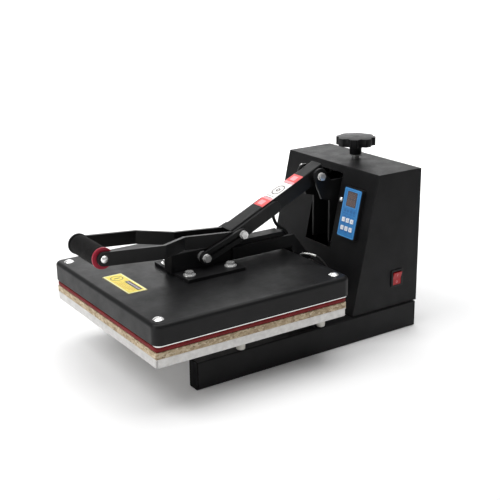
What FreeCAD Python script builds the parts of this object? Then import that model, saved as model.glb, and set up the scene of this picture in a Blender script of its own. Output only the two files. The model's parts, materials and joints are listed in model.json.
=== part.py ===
import FreeCAD, Part
import math
import os

V = FreeCAD.Vector

# Clamshell heat press. Millimetres. X to the operator's right, Y to the back, Z up.
# The origin is the middle of the footprint, on the table.

# ---------------------------------------------------------------- driving dimensions
PLATEN = 380.0            # side of the square platens
PLATEN_Y = -94.0          # middle of the platens, front to back
HALF = PLATEN / 2

BEAM_W = 25.0
BEAM_H = 50.0
BEAM_WALL = 2.0
BEAM_CORNER_R = 2.5
BEAM_OUT = 142.0          # outer faces of the two base beams
BEAM_FRONT = -184.0
BEAM_BACK = 308.0
CAP_T = 3.0

TRAY_Z = 86.0             # underside of the lower platen tray
TRAY_H = 15.0
TRAY_SHEET = 2.0
TRAY_NOTCH = 2.6          # open corners of the flanges
BOARD_H = 11.0
PAD_H = 9.0
PAD_GAP = 0.3             # closed head to silicone pad
BOARD_Z = TRAY_Z + TRAY_H
PAD_Z = BOARD_Z + BOARD_H
HEATER_Z = PAD_Z + PAD_H + PAD_GAP
HEATER_H = 12.0
HEATER_SIDE = 382.0
HEATER_CORNER_R = 7.0
COVER_SIDE = 390.0
COVER_Y = -92.0           # middle of the cover and heater, a little behind the lower platen
COVER_Z = 124.8
COVER_TOP = 160.0
COVER_SHEET = 1.6
COVER_CORNER_R = 15.0
COVER_EDGE_R = 7.0

TOWER_HALF = 137.0
TOWER_Z = BEAM_H
TOWER_TOP = 312.0
TOWER_FRONT_LOW = 155.0   # front face at the bottom
TOWER_FRONT_HIGH = 212.0  # front face at the top
TOWER_BACK = 315.0
TOWER_SHEET = 2.0
SLOT_HALF = 38.0
SLOT_LOW = 157.0
SLOT_HIGH = 298.0
FLOOR_T = 3.0

# pivots in the middle plane, as (y, z)
PIVOT_A = (164.0, 296.0)  # lever on the carriage
PIVOT_B = (-12.0, 215.0)  # knee, lever to links
PIVOT_C = (-91.0, 186.0)  # links to head arm
PIVOT_D = (140.0, 125.0)  # head to base

ARM_HALF = 14.6
ARM_WALL = 2.6
ARM_Z = 166.0
ARM_TOP = 200.0
ARM_FRONT = -154.0
ARM_BACK = 87.0
MOUNT_HALF_X = 61.0
MOUNT_FRONT = -148.0
MOUNT_BACK = -29.0
MOUNT_BOLT_X = 39.5
MOUNT_BOLT_Y = (-133.0, -48.0)
COVER_SCREW_X = 170.0
COVER_SCREW_Y = 175.0     # from the middle of the cover
COVER_SCREW_R = 9.0
COVER_SCREW_H = 3.6
WOOL_HALF = 160.0

LEVER_HALF = 15.0
LEVER_WALL = 3.0
LEVER_BEND = 3.0           # outer radius of the channel's folds
LEVER_UP = 15.0           # top of the channel above the pivot line
LEVER_DOWN = 13.0         # lower edges below the pivot line
LEVER_PAST_A = 18.0
LEVER_PAST_B = 14.0
KNEE_CLEAR = 4.5          # channel above the arm near the knee
LEG_T = 6.0
LEG_H = 24.0
LEG_OUT = 55.0            # outer faces of the legs at the grip
LINK_T = 5.8
LINK_W = 22.0
LINK_IN = 21.6            # inner faces of the links
PIVOT_R = 4.0             # M8 pivot bolts
SHAFT_R = 8.0             # head hinge shaft
SHAFT_PLAY = 1.6          # from the cheeks to the shaft's head and to its nut
RUN = 0.05                # radial clearance of running fits
GRIP_Y = -299.0
GRIP_Z = 233.0
GRIP_R = 18.0
GRIP_HALF = 44.5
KNOB_Y = 270.0
KNOB_R = 38.0
KNOB_Z = 339.0
KNOB_RIM = 15.0
KNOB_CROWN = 3.0
NOTCH_R = 11.0            # hollows between the knob's lobes
NOTCH_OUT = KNOB_R + 6.5  # their centres, from the knob's axis
HUB_R = 11.75
HUB_Z = 320.0
SPINDLE_R = 7.0

PANEL_X = 86.5            # controller, middle
PANEL_Z = 232.4
PANEL_W = 50.0
PANEL_H = 95.0
PANEL_PROUD = 9.0         # case in front of the tower's face
CASE_BACK = 14.0          # case behind the tower's face
CASE_WALL = 2.0
KEY = 8.0
KEY_PITCH_X = 11.75
KEY_ROWS = (-13.8, -29.3)
SWITCH_Y = 262.0
SWITCH_Z = 106.0
ROCKER_TILT = 8.0

# tubes and plate between the beams
CROSS_Y = (120.0, 283.0)
CROSS_W = 25.0
FLOOR_GAP = 0.3
TONGUE_HALF = 30.0
TONGUE_FRONT = 116.0

# hinge bracket, bolted to the tongue of the tower floor
BRACKET_IN = 7.2
BRACKET_T = 6.0
BRACKET_R = 17.0
BRACKET_FOOT_Y = (118.0, 153.0)
BRACKET_FOOT_T = 5.0

# white posts under the tray
POST_X = 133.0
POST_Y = (-90.0, 84.0)
POST_R = 8.0
POST_FOOT_R = 1.2         # rounding at the foot
POST_COLLAR_R = 9.5
POST_COLLAR_T = 3.0

# openings in the tower shell, and its screws
SWITCH_CUT_Y = 23.0
SWITCH_CUT_Z = 30.0
CONTROL_CUT_W = 42.0
CONTROL_CUT_H = 86.0
FRONT_SCREW_X = (-91.0, 45.0)
FRONT_SCREW_Z = (288.0, 250.0)

# back panel
PANEL_GAP = 0.25
PANEL_IN = 0.5            # panel's face inside the shell's rear edge
BACK_SCREW_X = 126.0
BACK_SCREW_Z = (62.0, 181.0, 300.0)
INLET_X = -80.0
INLET_Z = 88.0
INLET_PROUD = 2.5
FUSE_X = -44.0
VENT_COUNT = 9
VENT_STEP = 9.0
VENT_LOW = 190.0

# guide rails and spindle bearing
RAIL_IN = 27.6
RAIL_OUT = 33.0
RAIL_Y = (236.0, 292.0)
RAIL_Z = (56.0, 296.0)
BUSH_HALF = 21.0
BUSH_T = 14.0

# switch, controller and relay
SWITCH_OPEN_Y = 10.1
SWITCH_OPEN_Z = 13.7
SWITCH_PROUD = 2.5
SWITCH_DEEP = 22.0
ROCKER_AXIS_X = TOWER_HALF - 2.0
ROCKER_PIN_R = 1.5
ROCKER_PIN_END = 11.0     # ends of the rocker's pins, from the middle
FACE_T = 0.8
WINDOW_HALF = 13.5
WINDOW_Z = (12.0, 40.0)
KEY_GAP = 0.25
RELAY_X = -80.0
RELAY_Y = 222.0

# spindle and carriage
SPINDLE_LOW = 204.0
SHOULDER_Z = (289.0, 295.7)
EAR_IN = 22.0
EAR_OUT = 27.0
EAR_R = 15.0
EAR_TOP = 285.0
EAR_LOW = 164.0
TIE_Z = 200.0             # plate between the ears, under the spindle's end
TIE_T = 6.0
CARRIAGE_Y = (250.0, 292.0)
BLOCK_Z = (256.0, 278.0)
NUT_R = 18.0
NUT_T = 12.0              # welded nut under the block

# pivot bolts
HEX = 13.0                # across flats
HEX_T = 5.6
WASHER_R = 7.6
WASHER_T = 1.6
WIDE_WASHER_R = 11.0
WIDE_WASHER_T = 2.0
SPACER_R = 8.0            # spacers beside the lever

# legs of the handle
KNEE_R = 7.0              # pin through channel and legs
BEND = (-22.0, 208.6)     # where the leg turns up along the channel
LEG_BEND_OUT = -188.0
LEG_BEND_IN = -130.0
LEG_TOP = -110.0          # upper end of the leg, along the lever from the pivot
GRIP_TUBE_R = 8.0

# glands and hinge cheeks of the head
GLAND_R = 7.0
GLAND_NOSE_R = 6.0
GLAND_NOSE = 14.0         # length of the gland's nose, which points 45 degrees up
FERRULE_R = 3.2
CHEEK_IN = ARM_HALF
CHEEK_OUT = ARM_HALF + 5.0
CHEEK_R = 15.0
CHEEK_Y = (-30.0, 107.0)  # where the cheeks run along the arm
CHEEK_Z = (168.0, 191.5)
BUSH_R = 10.0

# leads, as the corner points of their routes
LEAD_R = 3.0              # sleeved heater lead
THERMO_R = 1.5            # braided thermocouple lead
GROMMET_R = 1.9           # hole for the thermocouple lead in the tower front
LEAD_ROUTE = [(-33, 119, 152), (-33, 131, 164), (-33, 127, 183), (-33, 104, 196), (-33, 94, 222),
              (-33, 106, 252), (-33, 138, 268), (-33, 174, 262), (-33, 206, 244), (-44, 228, 216),
              (-56, 234, 182), (-68, 232, 148), (-80, 222, 118), (-80, 222, 88)]
THERMO_ROUTE = [(25.5, 105, 137), (25.5, 115.5, 137), (25, 116.5, 154.7), (61.6, 129.7, 157), (71, 142, 140),
                (76, 154, 118), (76, 180, 118)]

# angles and lengths that follow from them
slope = math.degrees(math.atan2(TOWER_FRONT_HIGH - TOWER_FRONT_LOW, TOWER_TOP - TOWER_Z))
rise = (TOWER_FRONT_HIGH - TOWER_FRONT_LOW) / (TOWER_TOP - TOWER_Z)
lever_angle = math.degrees(math.atan2(PIVOT_A[1] - PIVOT_B[1], PIVOT_A[0] - PIVOT_B[0]))
lever_len = math.hypot(PIVOT_A[0] - PIVOT_B[0], PIVOT_A[1] - PIVOT_B[1])
link_angle = math.degrees(math.atan2(PIVOT_B[1] - PIVOT_C[1], PIVOT_B[0] - PIVOT_C[0]))
link_len = math.hypot(PIVOT_B[0] - PIVOT_C[0], PIVOT_B[1] - PIVOT_C[1])

nodes = {}


# ---------------------------------------------------------------- helpers
def box(x0, x1, y0, y1, z0, z1):
    return Part.makeBox(x1 - x0, y1 - y0, z1 - z0, V(x0, y0, z0))


def rod_x(x0, x1, y, z, r):
    return Part.makeCylinder(r, x1 - x0, V(x0, y, z), V(1, 0, 0))


def rod_y(x, y0, y1, z, r):
    return Part.makeCylinder(r, y1 - y0, V(x, y0, z), V(0, 1, 0))


def rod_z(x, y, z0, z1, r):
    return Part.makeCylinder(r, z1 - z0, V(x, y, z0), V(0, 0, 1))


def hex_x(x0, x1, y, z, across):
    """Hexagonal prism along X."""
    r = across / math.sqrt(3)
    pts = [V(x0, y + r * math.cos(math.radians(60 * k)), z + r * math.sin(math.radians(60 * k)))
           for k in range(7)]
    return Part.Face(Part.makePolygon(pts)).extrude(V(x1 - x0, 0, 0))


def hex_z(x, y, z0, z1, across):
    """Hexagonal prism along Z."""
    r = across / math.sqrt(3)
    pts = [V(x + r * math.cos(math.radians(60 * k)), y + r * math.sin(math.radians(60 * k)), z0)
           for k in range(7)]
    return Part.Face(Part.makePolygon(pts)).extrude(V(0, 0, z1 - z0))


def plate_x(points, x0, x1):
    """Flat plate cut to a (y, z) outline, from x0 to x1."""
    pts = [V(x0, y, z) for y, z in points]
    return Part.Face(Part.makePolygon(pts + pts[:1])).extrude(V(x1 - x0, 0, 0))


def plate_z(points, z0, z1):
    """Flat plate cut to an (x, y) outline, from z0 to z1."""
    pts = [V(x, y, z0) for x, y in points]
    return Part.Face(Part.makePolygon(pts + pts[:1])).extrude(V(0, 0, z1 - z0))


def mirror(shape):
    return shape.mirror(V(0, 0, 0), V(1, 0, 0))


def group(solids):
    return Part.makeCompound(solids)


def round_edges(shape, radius, keep):
    edges = [e for e in shape.Edges if keep(e)]
    return shape.makeFillet(radius, edges)


def is_along(edge, axis):
    a, b = edge.Vertexes[0].Point, edge.Vertexes[-1].Point
    d = b - a
    return d.Length > 1e-6 and abs(abs(d.dot(axis)) - d.Length) < 1e-6


def front_y(z):
    """Outer front face of the tower at height z."""
    return TOWER_FRONT_LOW + rise * (z - TOWER_Z)


def on_front(shape):
    """Moves a shape from the controller's own frame (origin on the panel face) onto the sloped front."""
    turned = shape.copy()
    turned.rotate(V(0, 0, 0), V(1, 0, 0), -slope)
    turned.translate(V(PANEL_X, front_y(PANEL_Z), PANEL_Z))
    return turned


def on_lever(shape):
    """Moves a shape from the lever's own frame (origin at the upper pivot, -Y towards the knee)."""
    turned = shape.copy()
    turned.rotate(V(0, 0, 0), V(1, 0, 0), lever_angle)
    turned.translate(V(0, PIVOT_A[0], PIVOT_A[1]))
    return turned


# ---------------------------------------------------------------- base frame
def base_beam(side):
    """Rectangular tube along Y; side is -1 for the left beam and 1 for the right."""
    inner = BEAM_OUT - BEAM_W
    x0, x1 = sorted((side * inner, side * BEAM_OUT))
    tube = box(x0, x1, BEAM_FRONT + CAP_T, BEAM_BACK - CAP_T, 0, BEAM_H)
    tube = round_edges(tube, BEAM_CORNER_R, lambda e: is_along(e, V(0, 1, 0)))
    hollow = box(x0 + BEAM_WALL, x1 - BEAM_WALL, BEAM_FRONT, BEAM_BACK, BEAM_WALL, BEAM_H - BEAM_WALL)
    return tube.cut(hollow)


def beam_end_caps():
    """Four plastic caps: a flange over the tube end with a plug inside it."""
    fit = BEAM_WALL + 0.1
    plug = 12.0
    caps = []
    for side in (-1, 1):
        inner = BEAM_OUT - BEAM_W
        x0, x1 = sorted((side * inner, side * BEAM_OUT))
        for y, way in ((BEAM_FRONT, 1), (BEAM_BACK, -1)):
            y0, y1 = sorted((y, y + way * CAP_T))
            flange = box(x0, x1, y0, y1, 0, BEAM_H)
            flange = round_edges(flange, BEAM_CORNER_R, lambda e: is_along(e, V(0, 1, 0)))
            p0, p1 = sorted((y + way * CAP_T, y + way * (CAP_T + plug)))
            caps.append(flange.fuse(box(x0 + fit, x1 - fit, p0, p1, fit, BEAM_H - fit)))
    return group(caps)


def cross_tubes():
    """Two tubes that tie the beams together under the tower."""
    reach = BEAM_OUT - BEAM_W
    tubes = []
    for y in CROSS_Y:
        tube = box(-reach, reach, y, y + CROSS_W, 0, BEAM_H)
        y0, y1 = y + BEAM_WALL, y + CROSS_W - BEAM_WALL
        hollow = box(-reach, reach, y0, y1, BEAM_WALL, BEAM_H - BEAM_WALL)
        tubes.append(tube.cut(hollow))
    return group(tubes)


def tower_floor():
    """Steel plate on the beams, with a tongue in front that carries the hinge bracket."""
    z1 = TOWER_Z + FLOOR_T
    inside = TOWER_HALF - TOWER_SHEET - FLOOR_GAP
    back = TOWER_BACK - PANEL_IN - TOWER_SHEET - FLOOR_GAP
    front = front_y(z1) + TOWER_SHEET + 1.0
    plate = box(-inside, inside, front, back, TOWER_Z, z1)
    tongue = box(-TONGUE_HALF, TONGUE_HALF, TONGUE_FRONT, front + 5, TOWER_Z, z1)
    return plate.fuse(tongue).removeSplitter()


def hinge_bracket():
    """U bracket with two cheeks that hold the head hinge shaft."""
    y, z = PIVOT_D
    z0 = TOWER_Z + FLOOR_T
    f0, f1 = BRACKET_FOOT_Y
    cheeks = []
    for side in (-1, 1):
        x0, x1 = sorted((side * BRACKET_IN, side * (BRACKET_IN + BRACKET_T)))
        web = plate_x([(f0, z0), (f1, z0), (y + BRACKET_R, z), (y - BRACKET_R, z)], x0, x1)
        cheek = web.fuse(rod_x(x0, x1, y, z, BRACKET_R))
        cheeks.append(cheek.cut(rod_x(x0, x1, y, z, SHAFT_R)))
    foot = box(-TONGUE_HALF + 2, TONGUE_HALF - 2, f0, f1, z0, z0 + BRACKET_FOOT_T)
    return foot.fuse(cheeks).removeSplitter()


def hinge_shaft():
    """Steel shaft with a round head on the right and a lock nut on the left."""
    y, z = PIVOT_D
    end = CHEEK_OUT + SHAFT_PLAY
    shaft = rod_x(-end - 12, end, y, z, SHAFT_R).fuse(rod_x(end, end + 5, y, z, 12))
    nut = hex_x(-end - 9, -end, y, z, 24).cut(rod_x(-end - 9, -end, y, z, SHAFT_R))
    return group([shaft, nut])


# ---------------------------------------------------------------- lower platen
def lower_platen():
    """Folded tray: flat top with four flanges down, open at the corners."""
    y0, y1 = PLATEN_Y - HALF, PLATEN_Y + HALF
    tray = box(-HALF, HALF, y0, y1, TRAY_Z, TRAY_Z + TRAY_H)
    t = TRAY_SHEET
    tray = tray.cut(box(-HALF + t, HALF - t, y0 + t, y1 - t, TRAY_Z, TRAY_Z + TRAY_H - t))
    high = TRAY_Z + TRAY_H - t
    for side in (-1, 1):
        xa, xb = sorted((side * HALF, side * (HALF - TRAY_NOTCH)))
        for ya in (y0, y1 - TRAY_NOTCH):
            tray = tray.cut(box(xa, xb, ya, ya + TRAY_NOTCH, TRAY_Z, high))
    return tray


def square_sheet(side, middle_y, z0, height, corner):
    """A square sheet with rounded corners."""
    h = side / 2
    sheet = box(-h, h, middle_y - h, middle_y + h, z0, z0 + height)
    return round_edges(sheet, corner, lambda e: is_along(e, V(0, 0, 1)))


def platen_posts():
    """Four white spacer posts between the beams and the tray, each with a collar under the tray's top."""
    high = TRAY_Z + TRAY_H - TRAY_SHEET
    posts = []
    for x in (-POST_X, POST_X):
        for y in POST_Y:
            post = rod_z(x, y, BEAM_H, high, POST_R)
            post = round_edges(post, POST_FOOT_R, lambda e: e.BoundBox.ZMax < BEAM_H + 0.01)
            posts.append(post.fuse(rod_z(x, y, high - POST_COLLAR_T, high, POST_COLLAR_R)))
    return group(posts)


# ---------------------------------------------------------------- tower
def tower_profile(inset):
    """Side outline of the tower, drawn in by the inset on the front and top."""
    shift = inset / math.cos(math.radians(slope))
    top = TOWER_TOP - inset
    return [(TOWER_FRONT_LOW + shift, TOWER_Z), (front_y(top) + shift, top),
            (TOWER_BACK, top), (TOWER_BACK, TOWER_Z)]


def tower_shell():
    """Folded sheet: sloped front with the slot, two sides and the top; open below and behind."""
    outer = plate_x(tower_profile(0), -TOWER_HALF, TOWER_HALF)
    sloped = V(0, rise, 1).normalize()
    outer = round_edges(outer, 1.5, lambda e: e.BoundBox.ZMin > TOWER_TOP - 1 or is_along(e, sloped))
    t = TOWER_SHEET
    shell = outer.cut(plate_x(tower_profile(t), -TOWER_HALF + t, TOWER_HALF - t))
    shell = shell.cut(box(-SLOT_HALF, SLOT_HALF, TOWER_FRONT_LOW - 5, 240, SLOT_LOW, SLOT_HIGH))
    notch = TOWER_Z + FLOOR_T + 1.0
    shell = shell.cut(box(-TONGUE_HALF - 1, TONGUE_HALF + 1, TOWER_FRONT_LOW - 5, 175, TOWER_Z, notch))
    shell = shell.cut(rod_z(0, KNOB_Y, TOWER_TOP - 5, TOWER_TOP + 5, SPINDLE_R + 1))
    y0, y1 = SWITCH_Y - SWITCH_CUT_Y / 2, SWITCH_Y + SWITCH_CUT_Y / 2
    z0, z1 = SWITCH_Z - SWITCH_CUT_Z / 2, SWITCH_Z + SWITCH_CUT_Z / 2
    shell = shell.cut(box(TOWER_HALF - 5, TOWER_HALF + 5, y0, y1, z0, z1))
    cut = box(-CONTROL_CUT_W / 2, CONTROL_CUT_W / 2, -8, 8, -CONTROL_CUT_H / 2, CONTROL_CUT_H / 2)
    shell = shell.cut(on_front(cut))
    shell = shell.cut(rod_y(THERMO_ROUTE[-1][0], 150, 180, THERMO_ROUTE[-1][2], GROMMET_R))
    for x, z in zip(FRONT_SCREW_X, FRONT_SCREW_Z):
        hole = rod_y(0, -8, 8, 0, 2.1)
        hole.rotate(V(0, 0, 0), V(1, 0, 0), -slope)
        hole.translate(V(x, front_y(z), z))
        shell = shell.cut(hole)
    return shell


def back_panel():
    """Flat rear cover inside the shell, with vent slots and holes for the inlet and the fuse."""
    x = TOWER_HALF - TOWER_SHEET - PANEL_GAP
    y1 = TOWER_BACK - PANEL_IN
    y0 = y1 - TOWER_SHEET
    panel = box(-x, x, y0, y1, TOWER_Z + 0.3, TOWER_TOP - TOWER_SHEET - PANEL_GAP)
    for k in range(VENT_COUNT):
        z = VENT_LOW + k * VENT_STEP
        for cx in (-60, 60):
            panel = panel.cut(box(cx - 30, cx + 30, y0, y1, z, z + 3.5))
    panel = panel.cut(box(INLET_X - 14, INLET_X + 14, y0, y1, INLET_Z - 10.5, INLET_Z + 10.5))
    panel = panel.cut(rod_y(FUSE_X, y0, y1, INLET_Z, 6.5))
    for sx in (-BACK_SCREW_X, BACK_SCREW_X):
        for z in BACK_SCREW_Z:
            panel = panel.cut(rod_y(sx, y0, y1, z, 2.1))
    return panel


def dome_y(x, y, z, r, h, way):
    """Domed screw head on a face normal to Y; way is -1 to the front and 1 to the back."""
    big = (r * r + h * h) / (2 * h)
    ball = Part.makeSphere(big, V(x, y - way * (big - h), z))
    y0, y1 = sorted((y, y + way * (h + 1)))
    return ball.common(box(x - r - 1, x + r + 1, y0, y1, z - r - 1, z + r + 1))


def panel_screws():
    """Six screws in the back panel and two in the sloped front."""
    screws = []
    y0 = TOWER_BACK - PANEL_IN
    for sx in (-BACK_SCREW_X, BACK_SCREW_X):
        for z in BACK_SCREW_Z:
            screws.append(dome_y(sx, y0, z, 4.0, 2.2, 1).fuse(rod_y(sx, y0 - 9, y0, z, 2.0)))
    for x, z in zip(FRONT_SCREW_X, FRONT_SCREW_Z):
        head = dome_y(0, 0, 0, 4.8, 2.6, -1).fuse(rod_y(0, 0, 9, 0, 2.0))
        head.rotate(V(0, 0, 0), V(1, 0, 0), -slope)
        head.translate(V(x, front_y(z), z))
        screws.append(head)
    return group(screws)


def guide_rails():
    """Two channels fixed to the floor that guide the carriage up and down."""
    rails = []
    flange = 4.0
    for side in (-1, 1):
        x0, x1 = sorted((side * RAIL_IN, side * RAIL_OUT))
        web = box(x0, x1, RAIL_Y[0] - flange, RAIL_Y[1] + flange, TOWER_Z + FLOOR_T, RAIL_Z[1])
        lip0, lip1 = sorted((side * (RAIL_IN - 10), side * RAIL_OUT))
        back = box(lip0, lip1, RAIL_Y[1] + 0.3, RAIL_Y[1] + flange, TOWER_Z + FLOOR_T, RAIL_Z[1])
        rails.append(web.fuse(back).removeSplitter())
    return group(rails)


def spindle_bush():
    """Bearing block under the tower top that the spindle turns in."""
    z1 = TOWER_TOP - TOWER_SHEET
    block = box(-BUSH_HALF, BUSH_HALF, KNOB_Y - BUSH_HALF, KNOB_Y + BUSH_HALF, z1 - BUSH_T, z1)
    block = round_edges(block, 3, lambda e: is_along(e, V(0, 0, 1)))
    return block.cut(rod_z(0, KNOB_Y, z1 - BUSH_T, z1, SPINDLE_R + RUN))


# ---------------------------------------------------------------- electrical parts
def power_inlet():
    """Three-pin mains inlet: flange, hollow body, three blades and two flush screws."""
    face = TOWER_BACK + INLET_PROUD
    panel = TOWER_BACK - PANEL_IN
    body = box(-13.8, 13.8, panel - 24, panel, -10.3, 10.3)
    flange = round_edges(box(-25, 25, panel, face, -14, 14), 4, lambda e: is_along(e, V(0, 1, 0)))
    body = body.fuse(flange).cut(box(-12, 12, face - 17, face, -8, 8))
    solids = []
    for x in (-20, 20):
        body = body.cut(rod_y(x, panel - 1, face, 0, 3.2))
        solids.append(rod_y(x, panel, face - 0.3, 0, 3.1))
    for x, z in ((-7, -2), (7, -2), (0, 3)):
        solids.append(box(x - 1, x + 1, face - 17, face - 3, z - 2.5, z + 2.5))
    inlet = group([body] + solids)
    inlet.translate(V(INLET_X, 0, INLET_Z))
    return inlet


def fuse_holder():
    """Panel fuse holder with a slotted cap."""
    panel = TOWER_BACK - PANEL_IN
    face = TOWER_BACK + INLET_PROUD
    body = rod_y(FUSE_X, panel - 30, panel, INLET_Z, 6.4)
    body = body.fuse(rod_y(FUSE_X, panel, face, INLET_Z, 9))
    return body.cut(box(FUSE_X - 6, FUSE_X + 6, face - 1.2, face, INLET_Z - 0.8, INLET_Z + 0.8))


def switch_bezel():
    """Body of the power switch, with a rounded frame outside and two terminals inside."""
    y, z = SWITCH_Y, SWITCH_Z
    frame = box(TOWER_HALF, TOWER_HALF + SWITCH_PROUD, y - 14, y + 14, z - 16.5, z + 16.5)
    frame = round_edges(frame, 2, lambda e: is_along(e, V(1, 0, 0)))
    hy, hz = SWITCH_CUT_Y / 2 - 0.1, SWITCH_CUT_Z / 2 - 0.1
    body = box(TOWER_HALF - SWITCH_DEEP, TOWER_HALF, y - hy, y + hy, z - hz, z + hz)
    cavity = box(TOWER_HALF - SWITCH_DEEP + 2, TOWER_HALF + SWITCH_PROUD + 1,
                 y - SWITCH_OPEN_Y, y + SWITCH_OPEN_Y, z - SWITCH_OPEN_Z, z + SWITCH_OPEN_Z)
    body = frame.fuse(body).cut(cavity)
    back = TOWER_HALF - SWITCH_DEEP
    for dz in (-8, 8):
        body = body.fuse(box(back - 8, back, y - 3, y + 3, z + dz - 0.4, z + dz + 0.4))
    reach = ROCKER_PIN_END + 0.1
    return body.cut(rod_y(ROCKER_AXIS_X, y - reach, y + reach, z, ROCKER_PIN_R + RUN)).removeSplitter()


def power_rocker():
    """Rocker with a shallow V face and a pin at each side, turned so that its upper half stands proud."""
    half_y = SWITCH_OPEN_Y - 0.3
    outline = [(-8, -10), (5.4, -12.4), (3.6, 0), (5.4, 12.4), (-8, 10)]
    pts = [V(x, -half_y, z) for x, z in outline]
    rocker = Part.Face(Part.makePolygon(pts + pts[:1])).extrude(V(0, 2 * half_y, 0))
    rocker = rocker.fuse(rod_y(0, -ROCKER_PIN_END, ROCKER_PIN_END, 0, ROCKER_PIN_R))
    rocker.rotate(V(0, 0, 0), V(0, 1, 0), ROCKER_TILT)
    rocker.translate(V(ROCKER_AXIS_X, SWITCH_Y, SWITCH_Z))
    return rocker


def key_places():
    return [(dx, dz) for dz in KEY_ROWS for dx in (-KEY_PITCH_X, 0.0, KEY_PITCH_X)]


def controller_housing():
    """Plastic case on the sloped front, open at the back, with holes for the keys."""
    w, h = PANEL_W / 2, PANEL_H / 2
    case = box(-w, w, -PANEL_PROUD, 0, -h, h)
    case = round_edges(case, 3.5, lambda e: is_along(e, V(0, 1, 0)))
    cw, ch = CONTROL_CUT_W / 2 - 0.5, CONTROL_CUT_H / 2 - 0.5
    case = case.fuse(box(-cw, cw, 0, CASE_BACK, -ch, ch))
    cw, ch = cw - CASE_WALL, ch - CASE_WALL
    case = case.cut(box(-cw, cw, -PANEL_PROUD + CASE_WALL, CASE_BACK, -ch, ch))
    k = KEY / 2 + KEY_GAP
    for dx, dz in key_places():
        case = case.cut(box(dx - k, dx + k, -PANEL_PROUD - 1, 0, dz - k, dz + k))
    return on_front(case)


def controller_face():
    """Blue membrane on the case, cut out for the window and the keys."""
    w, h = PANEL_W / 2 - 1.8, PANEL_H / 2 - 1.8
    y0, y1 = -PANEL_PROUD - FACE_T, -PANEL_PROUD
    face = round_edges(box(-w, w, y0, y1, -h, h), 2.5, lambda e: is_along(e, V(0, 1, 0)))
    g = WINDOW_HALF + 0.15
    face = face.cut(box(-g, g, y0, y1, WINDOW_Z[0] - 0.15, WINDOW_Z[1] + 0.15))
    k = KEY / 2 + KEY_GAP
    for dx, dz in key_places():
        face = face.cut(box(dx - k, dx + k, y0, y1, dz - k, dz + k))
    return on_front(face)


def display_window():
    """Dark window over the display."""
    pane = box(-WINDOW_HALF, WINDOW_HALF, -PANEL_PROUD - 1.1, -PANEL_PROUD, *WINDOW_Z)
    return on_front(pane)


def control_key(dx, dz):
    """Square key with a flange behind the case front."""
    k = KEY / 2
    key = box(dx - k, dx + k, -PANEL_PROUD - 2.2, -5.8, dz - k, dz + k)
    key = round_edges(key, 1.0, lambda e: is_along(e, V(0, 1, 0)))
    flange = box(dx - k - 0.9, dx + k + 0.9, -6.8, -5.0, dz - k - 0.9, dz + k + 0.9)
    return on_front(key.fuse(flange).removeSplitter())


def control_board():
    """Circuit board behind the keys, with one tall transformer block."""
    board = box(-18, 18, -3.8, -2.2, -40, 40)
    block = box(-14, 14, -2.2, 12, 5, 35)
    return on_front(board.fuse(block).removeSplitter())


def heater_relay():
    """Solid state relay on a finned heat sink on the tower floor."""
    z0 = TOWER_Z + FLOOR_T
    sink = box(RELAY_X - 32, RELAY_X + 32, RELAY_Y - 26, RELAY_Y + 26, z0, z0 + 16)
    for k in range(6):
        x = RELAY_X - 28 + k * 10.0
        sink = sink.cut(box(x, x + 6, RELAY_Y - 26, RELAY_Y + 26, z0, z0 + 12))
    relay = box(RELAY_X - 22, RELAY_X + 22, RELAY_Y - 22, RELAY_Y + 22, z0 + 16, z0 + 35)
    return group([sink, relay])


# ---------------------------------------------------------------- pressure screw
def pressure_knob():
    """Eight-lobed hand knob with a crowned top and a hub underneath."""
    z0, z1 = KNOB_Z, KNOB_Z + KNOB_RIM
    disc = Part.makeCylinder(KNOB_R, KNOB_RIM, V(0, 0, z0))
    big = (KNOB_R ** 2 + KNOB_CROWN ** 2) / (2 * KNOB_CROWN)
    crown = Part.makeSphere(big, V(0, 0, z1 + KNOB_CROWN - big))
    crown = crown.common(Part.makeCylinder(KNOB_R, KNOB_CROWN + 1, V(0, 0, z1 - 0.01)))
    knob = disc.fuse(crown)
    for k in range(8):
        a = math.radians(45 * k + 22.5)
        x, y = NOTCH_OUT * math.cos(a), NOTCH_OUT * math.sin(a)
        knob = knob.cut(rod_z(x, y, z0 - 1, z1 + KNOB_CROWN + 1, NOTCH_R))
    knob = knob.fuse(Part.makeCylinder(HUB_R, KNOB_Z - HUB_Z, V(0, 0, HUB_Z)))
    knob = knob.cut(Part.makeCylinder(SPINDLE_R, KNOB_RIM - 4 + KNOB_Z - HUB_Z, V(0, 0, HUB_Z)))
    knob.translate(V(0, KNOB_Y, 0))
    return knob


def spindle():
    """Pressure screw with a shoulder under the bearing block and a small cross pin above the tower."""
    rod = rod_z(0, KNOB_Y, SPINDLE_LOW, KNOB_Z + KNOB_RIM - 4, SPINDLE_R)
    shoulder = rod_z(0, KNOB_Y, SHOULDER_Z[0], SHOULDER_Z[1], 11)
    pin_z = TOWER_TOP + 4.0
    pin = rod_y(0, KNOB_Y, KNOB_Y + 13, pin_z, 1.6)
    return rod.fuse([shoulder, pin])


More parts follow.
